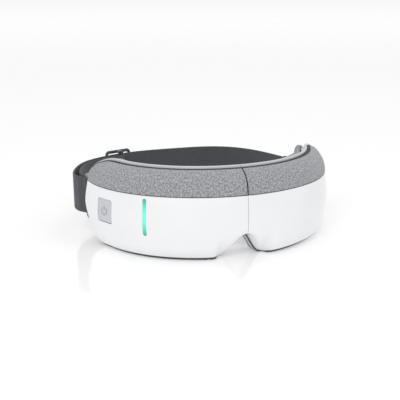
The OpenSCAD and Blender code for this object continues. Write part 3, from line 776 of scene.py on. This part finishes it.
def light_lens():
    outline = rounded_rectangle(*LIGHT_SIZE, LIGHT_SIZE[0] / 2 - 0.01, steps=8)
    layers = [(0, 4.0), (0, 0.25), (-0.12, 0.02), (-0.4, -0.08)]
    lens = laid_on("light_lens", LIGHT_T, LIGHT_Z, outline, layers, rings=4)
    wide = rounded_rectangle(*(v + 2 * FLANGE_REACH for v in LIGHT_SIZE), 2.6)
    back = laid_on("flange", LIGHT_T, LIGHT_Z, wide, [(0, 5.4), (0, 4.0)], 2)
    return joined("light_lens", [lens, back])


# ---------- fabric trim ----------
def trim_profile(t, drop=0.0, count=30):
    """The trim's outside at t, from the split line up to the rim or to a length short of it."""
    k, z0 = trim_taper(t), SPLIT_Z + GROOVE
    height = high_z(t, RIM_LIP) - z0
    turn = np.array([0, 20, 38, 54, 68, 80, 90])
    p = spline(list(zip(TRIM_INSET * k * (1 - cosd(turn)), z0 + height * sind(turn))), count * 4)
    length = lengths(p)
    return spline(p[length <= length[-1] - min(drop, 0.5 * length[-1]) + 1e-6][::2], count)


FABRIC_EDGE = 0.5  # radius of the cloth's turned edges
FABRIC_DEPTH = 1.0
FABRIC_START = 0.35  # where the cloth starts beside the seam
FABRIC_TIP = 2.6  # and where it ends before the temple tip
FABRIC_DROP = 2.2  # how far its upper edge stops short of the rim
CARRIER_DEPTH = 1.05
CARRIER_WALL = 1.35
LIP_DEPTH = 0.42  # how far the carrier's lips lie below the cloth's face; their near-black colour there is painted shade for the grooves
RIM_GAP = 0.55
TIP_RISE = 1.3  # how much higher the carrier's upper lip stands at the temple tip


def fabric_drop(t):
    """How far the fabric's edge stops short of the rim, which is less towards the temple."""
    return FABRIC_DROP * (0.55 + 0.45 * smooth(tip_gap(t) / 30))


def fabric_cover(side):
    """The cloth, turned in at its edges."""
    sections = []
    for t, _, extra in cover_stations(FABRIC_TIP, FABRIC_EDGE, FABRIC_START):
        profile = trim_profile(t, fabric_drop(t))
        profile[0, 1] += 0.15
        outer, inner = inward(profile, extra), inward(profile, FABRIC_DEPTH)
        foot = rounded([inner[0], outer[0], outer[1]], FABRIC_EDGE, 4, False)
        head = rounded([outer[-2], outer[-1], inner[-1]], FABRIC_EDGE, 4, False)
        sections.append(section(t, np.concatenate([foot[1:-1], outer[1:-1], head[1:-1], inner[::-1]])))
    return loft(f"fabric_{side}", sections, SIDES[side])


def trim_carrier(side):
    """Dark carrier under the cloth. It is a real part, and its near-black lips that fill the grooves round
    the cloth also paint the shade in these grooves.
    """
    sections = []
    for t, _, _ in cover_stations(0.9, 0.05):
        # In the grooves at the seam and the tip the dark carrier comes up close under the cloth's face as
        # painted shade.
        in_groove = PLAN_A * sind(t) < FABRIC_START or tip_gap(t) < FABRIC_TIP
        profile = trim_profile(t, fabric_drop(t) + 0.2)
        outer = inward(profile, LIP_DEPTH if in_groove else CARRIER_DEPTH)
        inner = inward(profile, CARRIER_DEPTH + CARRIER_WALL)
        foot = [(LIP_DEPTH, SPLIT_Z + 0.03), (LIP_DEPTH, profile[0, 1] - 0.02)]
        top = trim_profile(t)[-1] + np.array([RIM_GAP - 0.05, TIP_RISE * (1 - smooth(tip_gap(t) / 30))])
        edge = profile[-1] + np.array([LIP_DEPTH * 0.3, 0])
        head = [edge, top - np.array([0.4, 0.3]), top, (top[0], inner[-1, 1])]
        sections.append(section(t, np.concatenate([foot, outer[1:-1], head, inner[::-1]])))
    return loft(f"carrier_{side}", sections, SIDES[side])


# ---------- inner housing, which shows as the light rim ----------
LINE_SLOT = (4.15, 13.15)  # where the ribbon cable and the air tube pass through the housing
LEAF_SLOT = (-0.85, 15.75)  # where the hinge's leaf sits in it


def housing_d(t):
    return REAR_INSET * taper(t) + 0.6


def housing_loop(t):
    plate = housing_d(t)
    past = t > FLANGE_T
    shrink = float(corner((FLANGE_END - t) * math.radians(PLAN_B), 0.8))
    d = FLANGE_D + shrink if past else plate
    lip = d if past else TRIM_INSET * trim_taper(t) + RIM_GAP
    rim, back = lip + RIM_W, plate + HOUSING_WALL
    z0 = low_z(t, TIP_LIP * (1 - smooth((t - 80) / 8))) - NOSE_LIP * min(1, nose(t) / 6) + 0.5 + shrink
    z1 = high_z(t, RIM_LIP) - shrink
    top, middle = z1 + RIM_TOP, (z0 + z1) / 2
    points = [
        (d, z0), (d, z0 + 4.5), (d, middle), (d, z1 - 3.4), (lip, z1 - 2.4), (lip, top),
        (rim, top), (rim, z1 - 1), (back, z1 - 1.6), (back, middle), (back, z0 + 4.5), (back, z0),
    ]
    return rounded(points, [0.9, 0, 0, 0.3, 0.3, 1.1, 1.1, 0.4, 0.5, 0, 0, 0.9])


def contact_shade_strip(side):
    """Dark strip that the front shell's bottom edge stands on: painted shade where the shell meets the
    floor. On the left it ends at the nose.
    """
    sections = []
    start = 0.2 if side == "right" else SHADE_STRIP_START
    ts = spaced(t_at_x(start), t_at_x(NEAR_X), 34) + spaced(t_at_x(NEAR_X), t_at_gap(TAPER_LEN), 24)
    for t in ts + eased(t_at_gap(TAPER_LEN), 89.5, 24):
        profile = shell_profile(t)
        rear, z = profile[0]
        front = profile[np.argmax(profile[:, 1] - z > 0.45), 0]
        front = max(front, rear - 1.5 - 14 * smooth((PLAN_A * sind(t) - SHADE_STRIP_START) / 5))
        loop = [(front, z + 0.3), (front + 0.3, z), (rear + 0.4, z)]
        loop += [(rear + 0.4, z + 1.6), (front + 0.8, z + 1.6), (front, z + 1.0)]
        sections.append(section(t, np.array(loop)))
    return loft(f"contact_shade_strip_{side}", sections, SIDES[side])


def nose_shade_strip(side):
    """Dark strip behind the housing's edge in the nose opening: painted shade in the gap there."""
    sections = []
    for t in spaced(t_at_x(2.0), t_at_x(NOSE_HALF_W), 24):
        loop = housing_loop(t)
        d, z = loop[:, 0].max() + 0.02, loop[:, 1].min() - 0.3
        sections.append(section(t, np.array([(d, z), (d + 0.9, z), (d + 0.9, z + 2.5), (d, z + 2.5)])))
    return loft(f"nose_shade_strip_{side}", sections, SIDES[side])


def box_cutter(name, low, high):
    corners = [[(x, y, low[2]), (x, y, high[2])] for x, y in
               ((low[0], low[1]), (high[0], low[1]), (high[0], high[1]), (low[0], high[1]))]
    loops = [[c[k] for c in corners] for k in (0, 1)]
    return loft(name, loops, 0)


def housing(side):
    ts = spaced(0, t_at_x(NEAR_X), 34) + spaced(t_at_x(NEAR_X), t_at_gap(TAPER_LEN), 36)
    ts += eased(t_at_gap(TAPER_LEN), FLANGE_T, 30) + [FLANGE_T + 0.05] + eased(89.9, FLANGE_END, 7)
    obj = loft(f"rim_{side}", [section(t, housing_loop(t)) for t in ts], SIDES[side])
    sign = SIDES[side]
    cutters = []
    for index, node in enumerate(("ribbon_cable", "air_tube_bridge")):
        low, high = node_box(node)
        x = sorted(sign * v for v in LINE_SLOT)
        cutters.append(box_cutter(f"cut_{index}", (x[0], -10, low[2] - 0.8), (x[1], -1, high[2] + 0.8)))
    low, high = node_box(f"hinge_leaf_{side}")
    x = sorted(sign * v for v in LEAF_SLOT)
    cutters.append(box_cutter("cut_leaf", (x[0], low[1] - 0.6, low[2] - 0.3), (x[1], 1.4, high[2] + 0.3)))
    cut(obj, cutters)
    return obj


# ---------- face cushions ----------
EYE_T = 25.0
EYE_Z = 38.0
EYE_SPAN = (13.0, 15.0)
EYE_DEPTH = 3.0
CUSHION_T0 = 12.8
CUSHION_FACE = 33.5  # inset of the cushion's face at the eyes
CUSHION_THIN = 7.0  # how much less that is at the temples
CUSHION_ROWS = 72
CUSHION_COLUMNS = 26


def eye_distance(t, z):
    """1 on the sewn ring round the eye, less inside it."""
    return np.hypot((t - EYE_T) / EYE_SPAN[0], (z - EYE_Z) / EYE_SPAN[1])


def cushion_loop(t, t_end):
    ends = sind(90 * np.clip((t - CUSHION_T0) / 3.4, 0, 1)) * sind(90 * np.clip((t_end - t) / 9, 0, 1))
    back = housing_d(t) + HOUSING_WALL + 0.3
    face = CUSHION_FACE - CUSHION_THIN * sind(90 * np.clip((t - 42) / 34, 0, 1)) ** 2
    deep = max(1.2, (face - back) * ends)
    z0, z1 = low_z(t) + 4, high_z(t, RIM_LIP) - 1 + 2 * smooth((t - 60) / 20)
    middle, r = (z0 + z1) / 2, (z1 - z0) / 2
    turn = np.linspace(-90, 90, CUSHION_COLUMNS)
    z = middle + r * np.sign(turn) * np.abs(sind(turn)) ** 0.8
    dish = EYE_DEPTH * cosd(90 * np.minimum(1, eye_distance(t, z))) ** 2 * ends
    front = back + 0.6 + (deep - 0.6) * np.abs(cosd(turn)) ** 0.45 - dish
    rear = np.stack([np.full(6, back), np.linspace(z1 - 1.5, z0 + 1.5, 6)], axis=1)
    return np.concatenate([np.stack([front, z], axis=1), rear])


def puff(obj, pinned, pressure, cap_mm):
    """Swells a closed cushion by cloth simulation, holding the pinned points, and keeps the result."""
    rest = np.array([v.co for v in obj.data.vertices])
    group = obj.vertex_groups.new(name="pin")
    for index, weight in enumerate(pinned):
        if weight > 0:
            group.add([index], float(weight), "REPLACE")
    modifier = obj.modifiers.new("swell", "CLOTH")
    settings = modifier.settings
    settings.use_pressure = True
    settings.uniform_pressure_force = pressure
    settings.vertex_group_mass = "pin"
    settings.effector_weights.gravity = 0
    settings.quality = 6
    settings.mass = 0.2
    settings.tension_stiffness = 12
    settings.compression_stiffness = 12
    settings.bending_stiffness = 0.3
    modifier.collision_settings.use_collision = False
    scene = bpy.context.scene
    for number in range(1, 21):
        scene.frame_set(number)
    graph = bpy.context.evaluated_depsgraph_get()
    swollen = obj.evaluated_get(graph).to_mesh()
    moved = np.array([v.co for v in swollen.vertices]) - rest
    length = np.linalg.norm(moved, axis=1)[:, None]
    moved *= np.minimum(1, cap_mm * MM / np.maximum(length, 1e-9))
    obj.modifiers.clear()
    obj.vertex_groups.clear()
    scene.frame_set(1)
    obj.data.vertices.foreach_set("co", (rest + moved).astype(np.float32).ravel())
    obj.data.update()


def subdivided(obj, levels=1):
    modifier = obj.modifiers.new("fine", "SUBSURF")
    modifier.levels = modifier.render_levels = levels
    apply_modifiers(obj)


def cushion(side):
    t_end = t_at_gap(7.0)
    sign = SIDES[side]
    ts = [CUSHION_T0 + (t_end - CUSHION_T0) * u for u in np.linspace(0, 1, CUSHION_ROWS)]
    loops = [cushion_loop(t, t_end) for t in ts]
    obj = loft(f"cushion_{side}", [section(t, loop) for t, loop in zip(ts, loops)], sign)
    rows = np.repeat(ts, len(loops[0]))
    heights = np.concatenate([loop[:, 1] for loop in loops])
    column = np.tile(np.arange(len(loops[0])), CUSHION_ROWS)
    ring = eye_distance(rows, heights)
    front = (column > 1) & (column < CUSHION_COLUMNS - 2)
    pinned = np.where(front, np.where(np.abs(ring - 1) < 0.09, 0.9, 0.0), 1.0)
    puff(obj, pinned, 3.0, 3.0)
    subdivided(obj)
    return obj


def local_of(points, sign):
    """(t, inset, z) of points in metres on one side of the mask."""
    p = np.array(points) / MM
    x = sign * p[:, 0] - SEAM_GAP / 2
    y = p[:, 1] + FOLD_INSET
    t = np.degrees(np.arctan2(x / PLAN_A, (PLAN_B - y) / PLAN_B))
    for _ in range(8):
        speed = arc_speed(t)
        px, py = PLAN_A * sind(t), PLAN_B * (1 - cosd(t))
        forward = ((x - px) * PLAN_A * cosd(t) + (y - py) * PLAN_B * sind(t)) / speed
        d = (-(x - px) * PLAN_B * sind(t) + (y - py) * PLAN_A * cosd(t)) / speed
        radius = speed**3 / (PLAN_A * PLAN_B)
        t = t + np.degrees(forward / speed * radius / np.maximum(radius - d, 5.0))
    return t, d, p[:, 2]


def sew_eye_ring(obj, side):
    """Presses the sewn channel round the eye into the cushion, and lays its mesh window inside it."""
    sign = SIDES[side]
    co = np.array([v.co for v in obj.data.vertices])
    t, d, z = local_of(co, sign)
    depth = 1.0 * np.exp(-(((eye_distance(t, z) - 1) / 0.055) ** 2)) * (d > housing_d(30) + 5)
    normals = np.array([v.normal for v in obj.data.vertices])
    obj.data.vertices.foreach_set("co", (co - normals * depth[:, None] * MM).astype(np.float32).ravel())
    obj.data.update()
    centres = np.array([p.center for p in obj.data.polygons])
    t, d, z = local_of(centres, sign)
    inside = (eye_distance(t, z) < 1) & (d > housing_d(30) + 5)
    obj.data.materials.append(PAD_MESH)
    obj.data.polygons.foreach_set("material_index", inside.astype(np.int32))


def stitches(name, obj, side, ring, count, radius=0.28):
    """Short threads along a ring of (t, z), laid on the cushion's face."""
    sign = SIDES[side]
    tree = BVHTree.FromPolygons([v.co for v in obj.data.vertices], [p.vertices for p in obj.data.polygons])
    parts = []
    for k in range(count):
        ends = []
        for shift in (-0.5, 0.5):
            angle = 360 * (k + shift * 0.62) / count
            t, z = ring(angle)
            x, y = on_plan(t, 45.0)
            far_x, far_y = on_plan(t, 20.0)
            start = Vector((sign * (x + SEAM_GAP / 2), y, z)) * MM
            stop = Vector((sign * (far_x + SEAM_GAP / 2), far_y, z)) * MM
            hit = tree.ray_cast(start, (stop - start).normalized())[0]
            if hit is not None:
                ends.append(hit)
        if len(ends) == 2:
            parts.append(capsule(ends[0], ends[1], radius * MM))
    return joined(name, parts)


def capsule(a, b, radius, sides=8):
    """A thread from a to b, thinner at its ends."""
    axis = b - a
    u = axis.orthogonal().normalized()
    w = axis.normalized().cross(u)
    verts = []
    profile = [(0.0, 0.35), (0.12, 0.85), (0.5, 1.0), (0.88, 0.85), (1.0, 0.35)]
    for along, share in profile:
        for k in range(sides):
            turn = 2 * math.pi * k / sides
            verts.append(a + axis * along + (u * math.cos(turn) + w * math.sin(turn)) * radius * share)
    faces = ring_faces(len(profile), sides)
    faces += [tuple(range(k, k + sides)) for k in (0, (len(profile) - 1) * sides)]
    return new_object("thread", [tuple(v / MM) for v in verts], faces, side=0, sharp=60)


# ---------- nose gusset ----------
def gusset():
    """Soft pleated flap that bridges the two cushions behind the hinge."""
    low, high = node_box("nose_gusset")
    sections = []
    z0, z1 = low[2] - 2.0, high[2]
    for x in np.linspace(low[0], high[0], 61):
        u = x / high[0]
        y = low[1] + 0.3 + 1.6 * (1 - u * u) + 0.35 * math.cos(x * 2.1) * (1 - u * u)
        droop = 1.6 * u * u
        loop = rounded([(y, z0 + droop), (y, z1), (y + 1.3, z1), (y + 1.3, z0 + droop)], 0.6)
        sections.append([(x, p[0], p[1]) for p in loop])
    return loft("nose_gusset_flap", sections, 0)


# ---------- strap ----------
STRAP_TH = 1.6
STRAP_Z = strap_low[2]
STRAP_W = strap_high[2] - strap_low[2]
ANCHOR_X = 98.4
ANCHOR_Y = 101.0 - FOLD_INSET
RUN_X = -13.6
RUN_Y = 76.6 - FOLD_INSET
RUN_R = 115.4
RUN_FROM = 132.0
RUN_TO = 88.0
SLIDER_A = 110.2
SLIDER_L = 26.0
BAR_R = 1.1
FRAME_W = 3.0
FRAME_TH = 2.2
FRAME_OFF = 2.2
MIDDLE_OFF = -4.1
LOOP_R = 1.5 + STRAP_TH / 2 + 0.25


def on_run(a, off=0.0):
    return (RUN_X + (RUN_R + off) * float(cosd(a)), RUN_Y + (RUN_R + off) * float(sind(a)))


def around(x, y, start, stop, n, r=LOOP_R):
    return [(x + r * cosd(a), y + r * sind(a)) for a in np.linspace(start, stop, n)]


def through(points, n):
    """A smooth line through the points, without the first and last, n steps a span."""
    p = np.array(points, float)
    out = []
    for i in range(1, len(p) - 2):
        a, b, c, d = p[i - 1 : i + 3]
        for u in np.arange(n) / n:
            bend = (2 * a - 5 * b + 4 * c - d) * u**2 + (3 * b - a - 3 * c + d) * u**3
            out.append(0.5 * (2 * b + (c - a) * u + bend))
    return [tuple(q) for q in out]


def from_front(points):
    """Plan points given with y measured from the front face."""
    return [(x, y - FOLD_INSET) for x, y in points]


def eased_line(p, passes=90):
    """Evens out a line's bends, except close to what it loops round and at its ends."""
    bars = np.array([(ANCHOR_X, ANCHOR_Y), (-ANCHOR_X, ANCHOR_Y), on_run(SLIDER_A, MIDDLE_OFF)])
    near = np.min([np.hypot(*(p - bar).T) for bar in bars], axis=0)
    share = smooth((near - 14) / 20)[1:-1, None]
    for _ in range(passes):
        p[1:-1] += share * ((p[:-2] + p[2:]) / 2 - p[1:-1]) * 0.9
    return p


def strap_piece(name, line):
    """Webbing with rounded, slightly thinner edges along a plan line."""
    p = np.array(line, float)
    keep = np.concatenate([[True], np.linalg.norm(np.diff(p, axis=0), axis=1) > 0.05])
    p = spline(p[keep], max(16, int(np.linalg.norm(np.diff(p[keep], axis=0), axis=1).sum() / 1.1)))
    p = eased_line(p)
    half, low, high = STRAP_TH / 2, STRAP_Z, STRAP_Z + STRAP_W
    heights = np.linspace(low + 0.9, high - 0.9, 13)
    thin = 0.72
    face = [(half, z) for z in heights]
    foot, head = (half * thin, low + 0.25), (half * thin, high - 0.25)
    loop = [foot] + face + [head, (0, high)]
    loop += [(-n, z) for n, z in [head] + face[::-1] + [foot]] + [(0, low)]
    sections = [[(q[0] + n[0] * s, q[1] + n[1] * s, z) for s, z in loop] for q, n in zip(p, left_normals(p))]
    return loft(name, sections, 0, sharp=60)


def slider_loop_line():
    m = on_run(SLIDER_A, MIDDLE_OFF)
    r = BAR_R + STRAP_TH / 2 + 0.2
    y = from_front
    inner = [on_run(SLIDER_A, -7), on_run(SLIDER_A + 5, -6.4), on_run(RUN_FROM, -4.6)]
    inner += y([(-99.4, 132), (-101.5, 120), (-99.5, 108)])
    inner += [(-ANCHOR_X + LOOP_R, ANCHOR_Y + 1), (-ANCHOR_X + LOOP_R, ANCHOR_Y - 9)]
    line = around(*m, SLIDER_A + 60, SLIDER_A - 90, 10, r) + around(*m, SLIDER_A - 110, SLIDER_A - 180, 5, r)
    return line + through(inner, 6) + around(-ANCHOR_X, ANCHOR_Y, 0, -180, 14)


def outer_left_line():
    outer = [(-ANCHOR_X - LOOP_R, ANCHOR_Y - 6), (-ANCHOR_X - LOOP_R, ANCHOR_Y)]
    outer += from_front([(-105.2, 108), (-107.2, 118), (-105.6, 129.6), (-101, 141)])
    outer += [on_run(RUN_FROM), on_run(RUN_FROM - 4)]
    return through(outer, 6) + [on_run(a) for a in np.linspace(RUN_FROM, SLIDER_A - 0.1, 16)]


def rear_line():
    rear = [on_run(RUN_TO + 3), on_run(RUN_TO - 3)]
    rear += from_front([(14, 191.6), (33.6, 190), (51.6, 182.6), (63, 171), (69.5, 160.5), (74.6, 149)])
    rear += from_front([(78.8, 135), (82.6, 120), (88, 108)])
    rear += [(ANCHOR_X - LOOP_R, ANCHOR_Y + 1.5), (ANCHOR_X - LOOP_R, ANCHOR_Y - 6)]
    end = [(ANCHOR_X + LOOP_R, ANCHOR_Y - 6), (ANCHOR_X + LOOP_R, ANCHOR_Y + 1)]
    end += from_front([(96.2, 105.5), (89.6, 111.6), (85.2, 122.5), (83, 130)])
    line = [on_run(a) for a in np.arange(SLIDER_A, RUN_TO - 0.1, -1.5)] + through(rear, 6)
    return line + around(ANCHOR_X, ANCHOR_Y, 180, 360, 14) + through(end, 6)


def strap():
    finish = MATERIALS["webbing"]
    left = strap_piece("strap_left_run", outer_left_line())
    place(left, "left_half", "webbing", finish, "elastic_strap")
    rear = strap_piece("strap_rear_run", rear_line())
    loop = strap_piece("strap_inner_run", slider_loop_line())
    for piece in (rear, loop):
        piece.data.materials.append(finish)
        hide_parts("elastic_strap")
    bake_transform(rear)
    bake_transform(loop)


def slider():
    """Three-bar slider with a rounded frame that follows the strap's run."""
    low, high = node_box("strap_slider")
    z0, z1 = low[2] + FRAME_W / 2, high[2] - FRAME_W / 2
    parts = []

    def bar(points, thick, deep, name):
        """A rounded bar of the given size along points of (angle on the run, offset, z)."""
        path = np.array([(*on_run(a, off), z) for a, off, z in points])
        out = np.array([[cosd(a), sind(a), 0] for a, _, _ in points])
        aside = np.cross(directions(path), out)
        oval = [(math.cos(q), math.sin(q)) for q in np.linspace(0, 2 * math.pi, 16, endpoint=False)]
        sections = []
        for p, o, s in zip(path, out, aside):
            sections.append([p + o * c * deep / 2 + s * b * thick / 2 for c, b in oval])
        return loft(name, sections, 0, sharp=60)

    half = math.degrees((SLIDER_L / 2 - BAR_R) / RUN_R)
    corner_r = 2.3
    corner_a = math.degrees(corner_r / RUN_R)
    ring = []
    for sa, sz, start in ((1, 1, 0), (-1, 1, 90), (-1, -1, 180), (1, -1, 270)):
        for q in np.linspace(start, start + 90, 7):
            centre_a = SLIDER_A + sa * (half - corner_a)
            centre_z = (z0 + z1) / 2 + sz * ((z1 - z0) / 2 - corner_r)
            ring.append((centre_a + corner_a * cosd(q), FRAME_OFF, centre_z + corner_r * sind(q)))
    ring.append(ring[0])
    parts.append(bar(ring, FRAME_W, FRAME_TH, "frame"))
    middle = [(SLIDER_A, MIDDLE_OFF, z) for z in np.linspace(z0, z1, 5)]
    parts.append(bar(middle, 2 * BAR_R, 2 * BAR_R, "middle"))
    for z in (z0, z1):
        offsets = np.linspace(FRAME_OFF, MIDDLE_OFF, 6)
        path = [(*on_run(SLIDER_A + 0.01 * k, off), z) for k, off in enumerate(offsets)]
        parts.append(strut(path, FRAME_TH, 5.0))
    return joined("slider_frame", parts)


def strut(path, height, width):
    """A flat rounded bridge along a plan path."""
    p = np.array(path, float)
    w, h = width / 2, height / 2
    outline = rounded([(-w, -h), (w, -h), (w, h), (-w, h)], 0.9)
    sections = []
    for q, n in zip(p, left_normals(p)):
        sections.append([(q[0] + n[0] * a, q[1] + n[1] * a, q[2] + b) for a, b in outline])
    return loft("strut", sections, 0, sharp=60)


# ---------- the object ----------
def soften(node, width):
    """Rounds the edges of a CAD node that stays shown."""
    obj = frame["nodes"][node]
    weld = obj.modifiers.new("weld", "WELD")
    weld.merge_threshold = 1e-6
    bevel = obj.modifiers.new("edges", "BEVEL")
    bevel.width = width * MM
    bevel.segments = 2
    bevel.limit_method = "ANGLE"
    bevel.angle_limit = math.radians(40)


def build_half(side):
    body = f"{side}_half"
    skin = shell(side)
    if side == "left":
        cut(skin, shell_cutters())
    place(skin, body, "white_shell", MATERIALS["white_shell"], f"front_shell_{side}")
    place(fabric_cover(side), body, "heather_fabric", MATERIALS["heather_fabric"], f"fabric_cover_{side}")
    # Dark strips of painted shade, in the nose opening and under the shell's bottom edge.
    place(nose_shade_strip(side), body, "trim_carrier", SHADE_STRIP_DARK)
    place(contact_shade_strip(side), body, "trim_carrier", SHADE_STRIP_DARK)
    place(trim_carrier(side), body, "trim_carrier", MATERIALS["trim_carrier"], f"trim_carrier_{side}")
    place(housing(side), body, "rim_plastic", MATERIALS["rim_plastic"], f"inner_housing_{side}")
    pad = place(cushion(side), body, "cushion_skin", MATERIALS["cushion_skin"], f"face_cushion_{side}")
    sew_eye_ring(pad, side)

    def ring(angle):
        return EYE_T + EYE_SPAN[0] * cosd(angle), EYE_Z + EYE_SPAN[1] * sind(angle)

    thread = stitches(f"eye_stitches_{side}", pad, side, ring, 40)
    place(thread, body, "cushion_skin", THREAD)


def build_controls():
    place(power_button(), "power_key", "button_cap", MATERIALS["button_cap"], "power_button")
    place(standby_symbol(), "power_key", "button_cap", SYMBOL)
    place(light_lens(), "left_half", "light_lens", MATERIALS["light_lens"], "light_bar")


def build_soft_bridge():
    flap = gusset()
    flap.data.materials.append(GUSSET_CLOTH)
    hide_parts("nose_gusset")
    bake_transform(flap)
    for node in ("ribbon_cable", "air_tube_bridge"):
        source = frame["nodes"][node]
        piece = added(f"{node}_flex", source.data.copy())
        piece.data.materials.clear()
        slot_name = SLOT_OF[node]
        piece.data.materials.append(MATERIALS[slot_name])
        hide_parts(node)
        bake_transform(piece)


def finish_cad_nodes():
    """Gives every CAD node that stays its slot's material, the strap anchors a grey one, and rounds the
    edges of the strap anchors and the hinge.
    """
    for node, slot_name in SLOT_OF.items():
        obj = frame["nodes"][node]
        if obj.hide_render:
            continue
        obj.data.materials.clear()
        obj.data.materials.append(ANCHOR_GREY if node.startswith("strap_anchor") else MATERIALS[slot_name])
    for side in SIDES:
        soften(f"strap_anchor_{side}", 0.3)
        soften(f"hinge_leaf_{side}", 0.3)
    soften("hinge_pin", 0.3)


# ---------- set ----------
def build_floor():
    s = Shader("studio_floor", (0.78, 0.78, 0.785), 0.1)
    s.base.inputs["IOR"].default_value = 1.6
    s.base.inputs["Emission Color"].default_value = (1, 1, 1, 1)
    s.base.inputs["Emission Strength"].default_value = 0.24
    s.link(s.math("MULTIPLY_ADD", s.noise(s.local, 3.0), 0.03, 0.09), "Roughness")
    mesh = bpy.data.meshes.new("floor")
    reach = 40.0
    corners = [(-reach, -reach, 0), (reach, -reach, 0), (reach, reach, 0), (-reach, reach, 0)]
    mesh.from_pydata(corners, [], [(0, 1, 2, 3)])
    mesh.materials.append(s.material)
    added("floor", mesh)


def area_light(name, place_at, target, size, power, colour=(1, 1, 1)):
    data = bpy.data.lights.new(name, "AREA")
    data.shape = "RECTANGLE"
    data.size, data.size_y = size
    data.energy = power
    data.color = colour
    light = added(name, data)
    light.location = place_at
    light.rotation_euler = (Vector(target) - Vector(place_at)).to_track_quat("-Z", "Y").to_euler()


def build_light():
    world = bpy.data.worlds.new("studio")
    world.use_nodes = True
    background = world.node_tree.nodes["Background"]
    background.inputs["Color"].default_value = (1, 1, 1, 1)
    background.inputs["Strength"].default_value = 0.76
    bpy.context.scene.world = world
    centre = (0, 0.03, 0.03)
    area_light("key", (-0.5, -0.9, 0.9), centre, (0.9, 0.6), 5.0)
    area_light("top", (0.2, 0.3, 1.3), centre, (1.2, 0.8), 2.5)
    bpy.context.scene.view_settings.view_transform = "Standard"


def build_camera():
    """Camera at the photograph's angle, for a square picture, with the mask left of the middle."""
    azimuth, elevation, distance = math.radians(-21.0), math.radians(14.9), 0.616
    target = Vector((0, 0.021, 0.037))
    back = Vector((math.sin(azimuth) * math.cos(elevation), -math.cos(azimuth) * math.cos(elevation),
                   math.sin(elevation)))
    data = bpy.data.cameras.new("camera")
    data.lens = 69.84
    data.sensor_width = 36.0
    data.shift_x = -0.0663
    data.shift_y = -0.0025
    camera = added("camera", data)
    camera.location = target + back * distance
    camera.rotation_euler = (-back).to_track_quat("-Z", "Y").to_euler()
    bpy.context.scene.camera = camera


SLOT_OF = {part["node"]: part["material_slot"] for part in frame["record"]["subparts"]}
for half_side in SIDES:
    build_half(half_side)
build_controls()
build_soft_bridge()
strap()
place(slider(), "strap_slider", "slider_plastic", MATERIALS["slider_plastic"], "strap_slider")
finish_cad_nodes()
build_floor()
build_light()
build_camera()
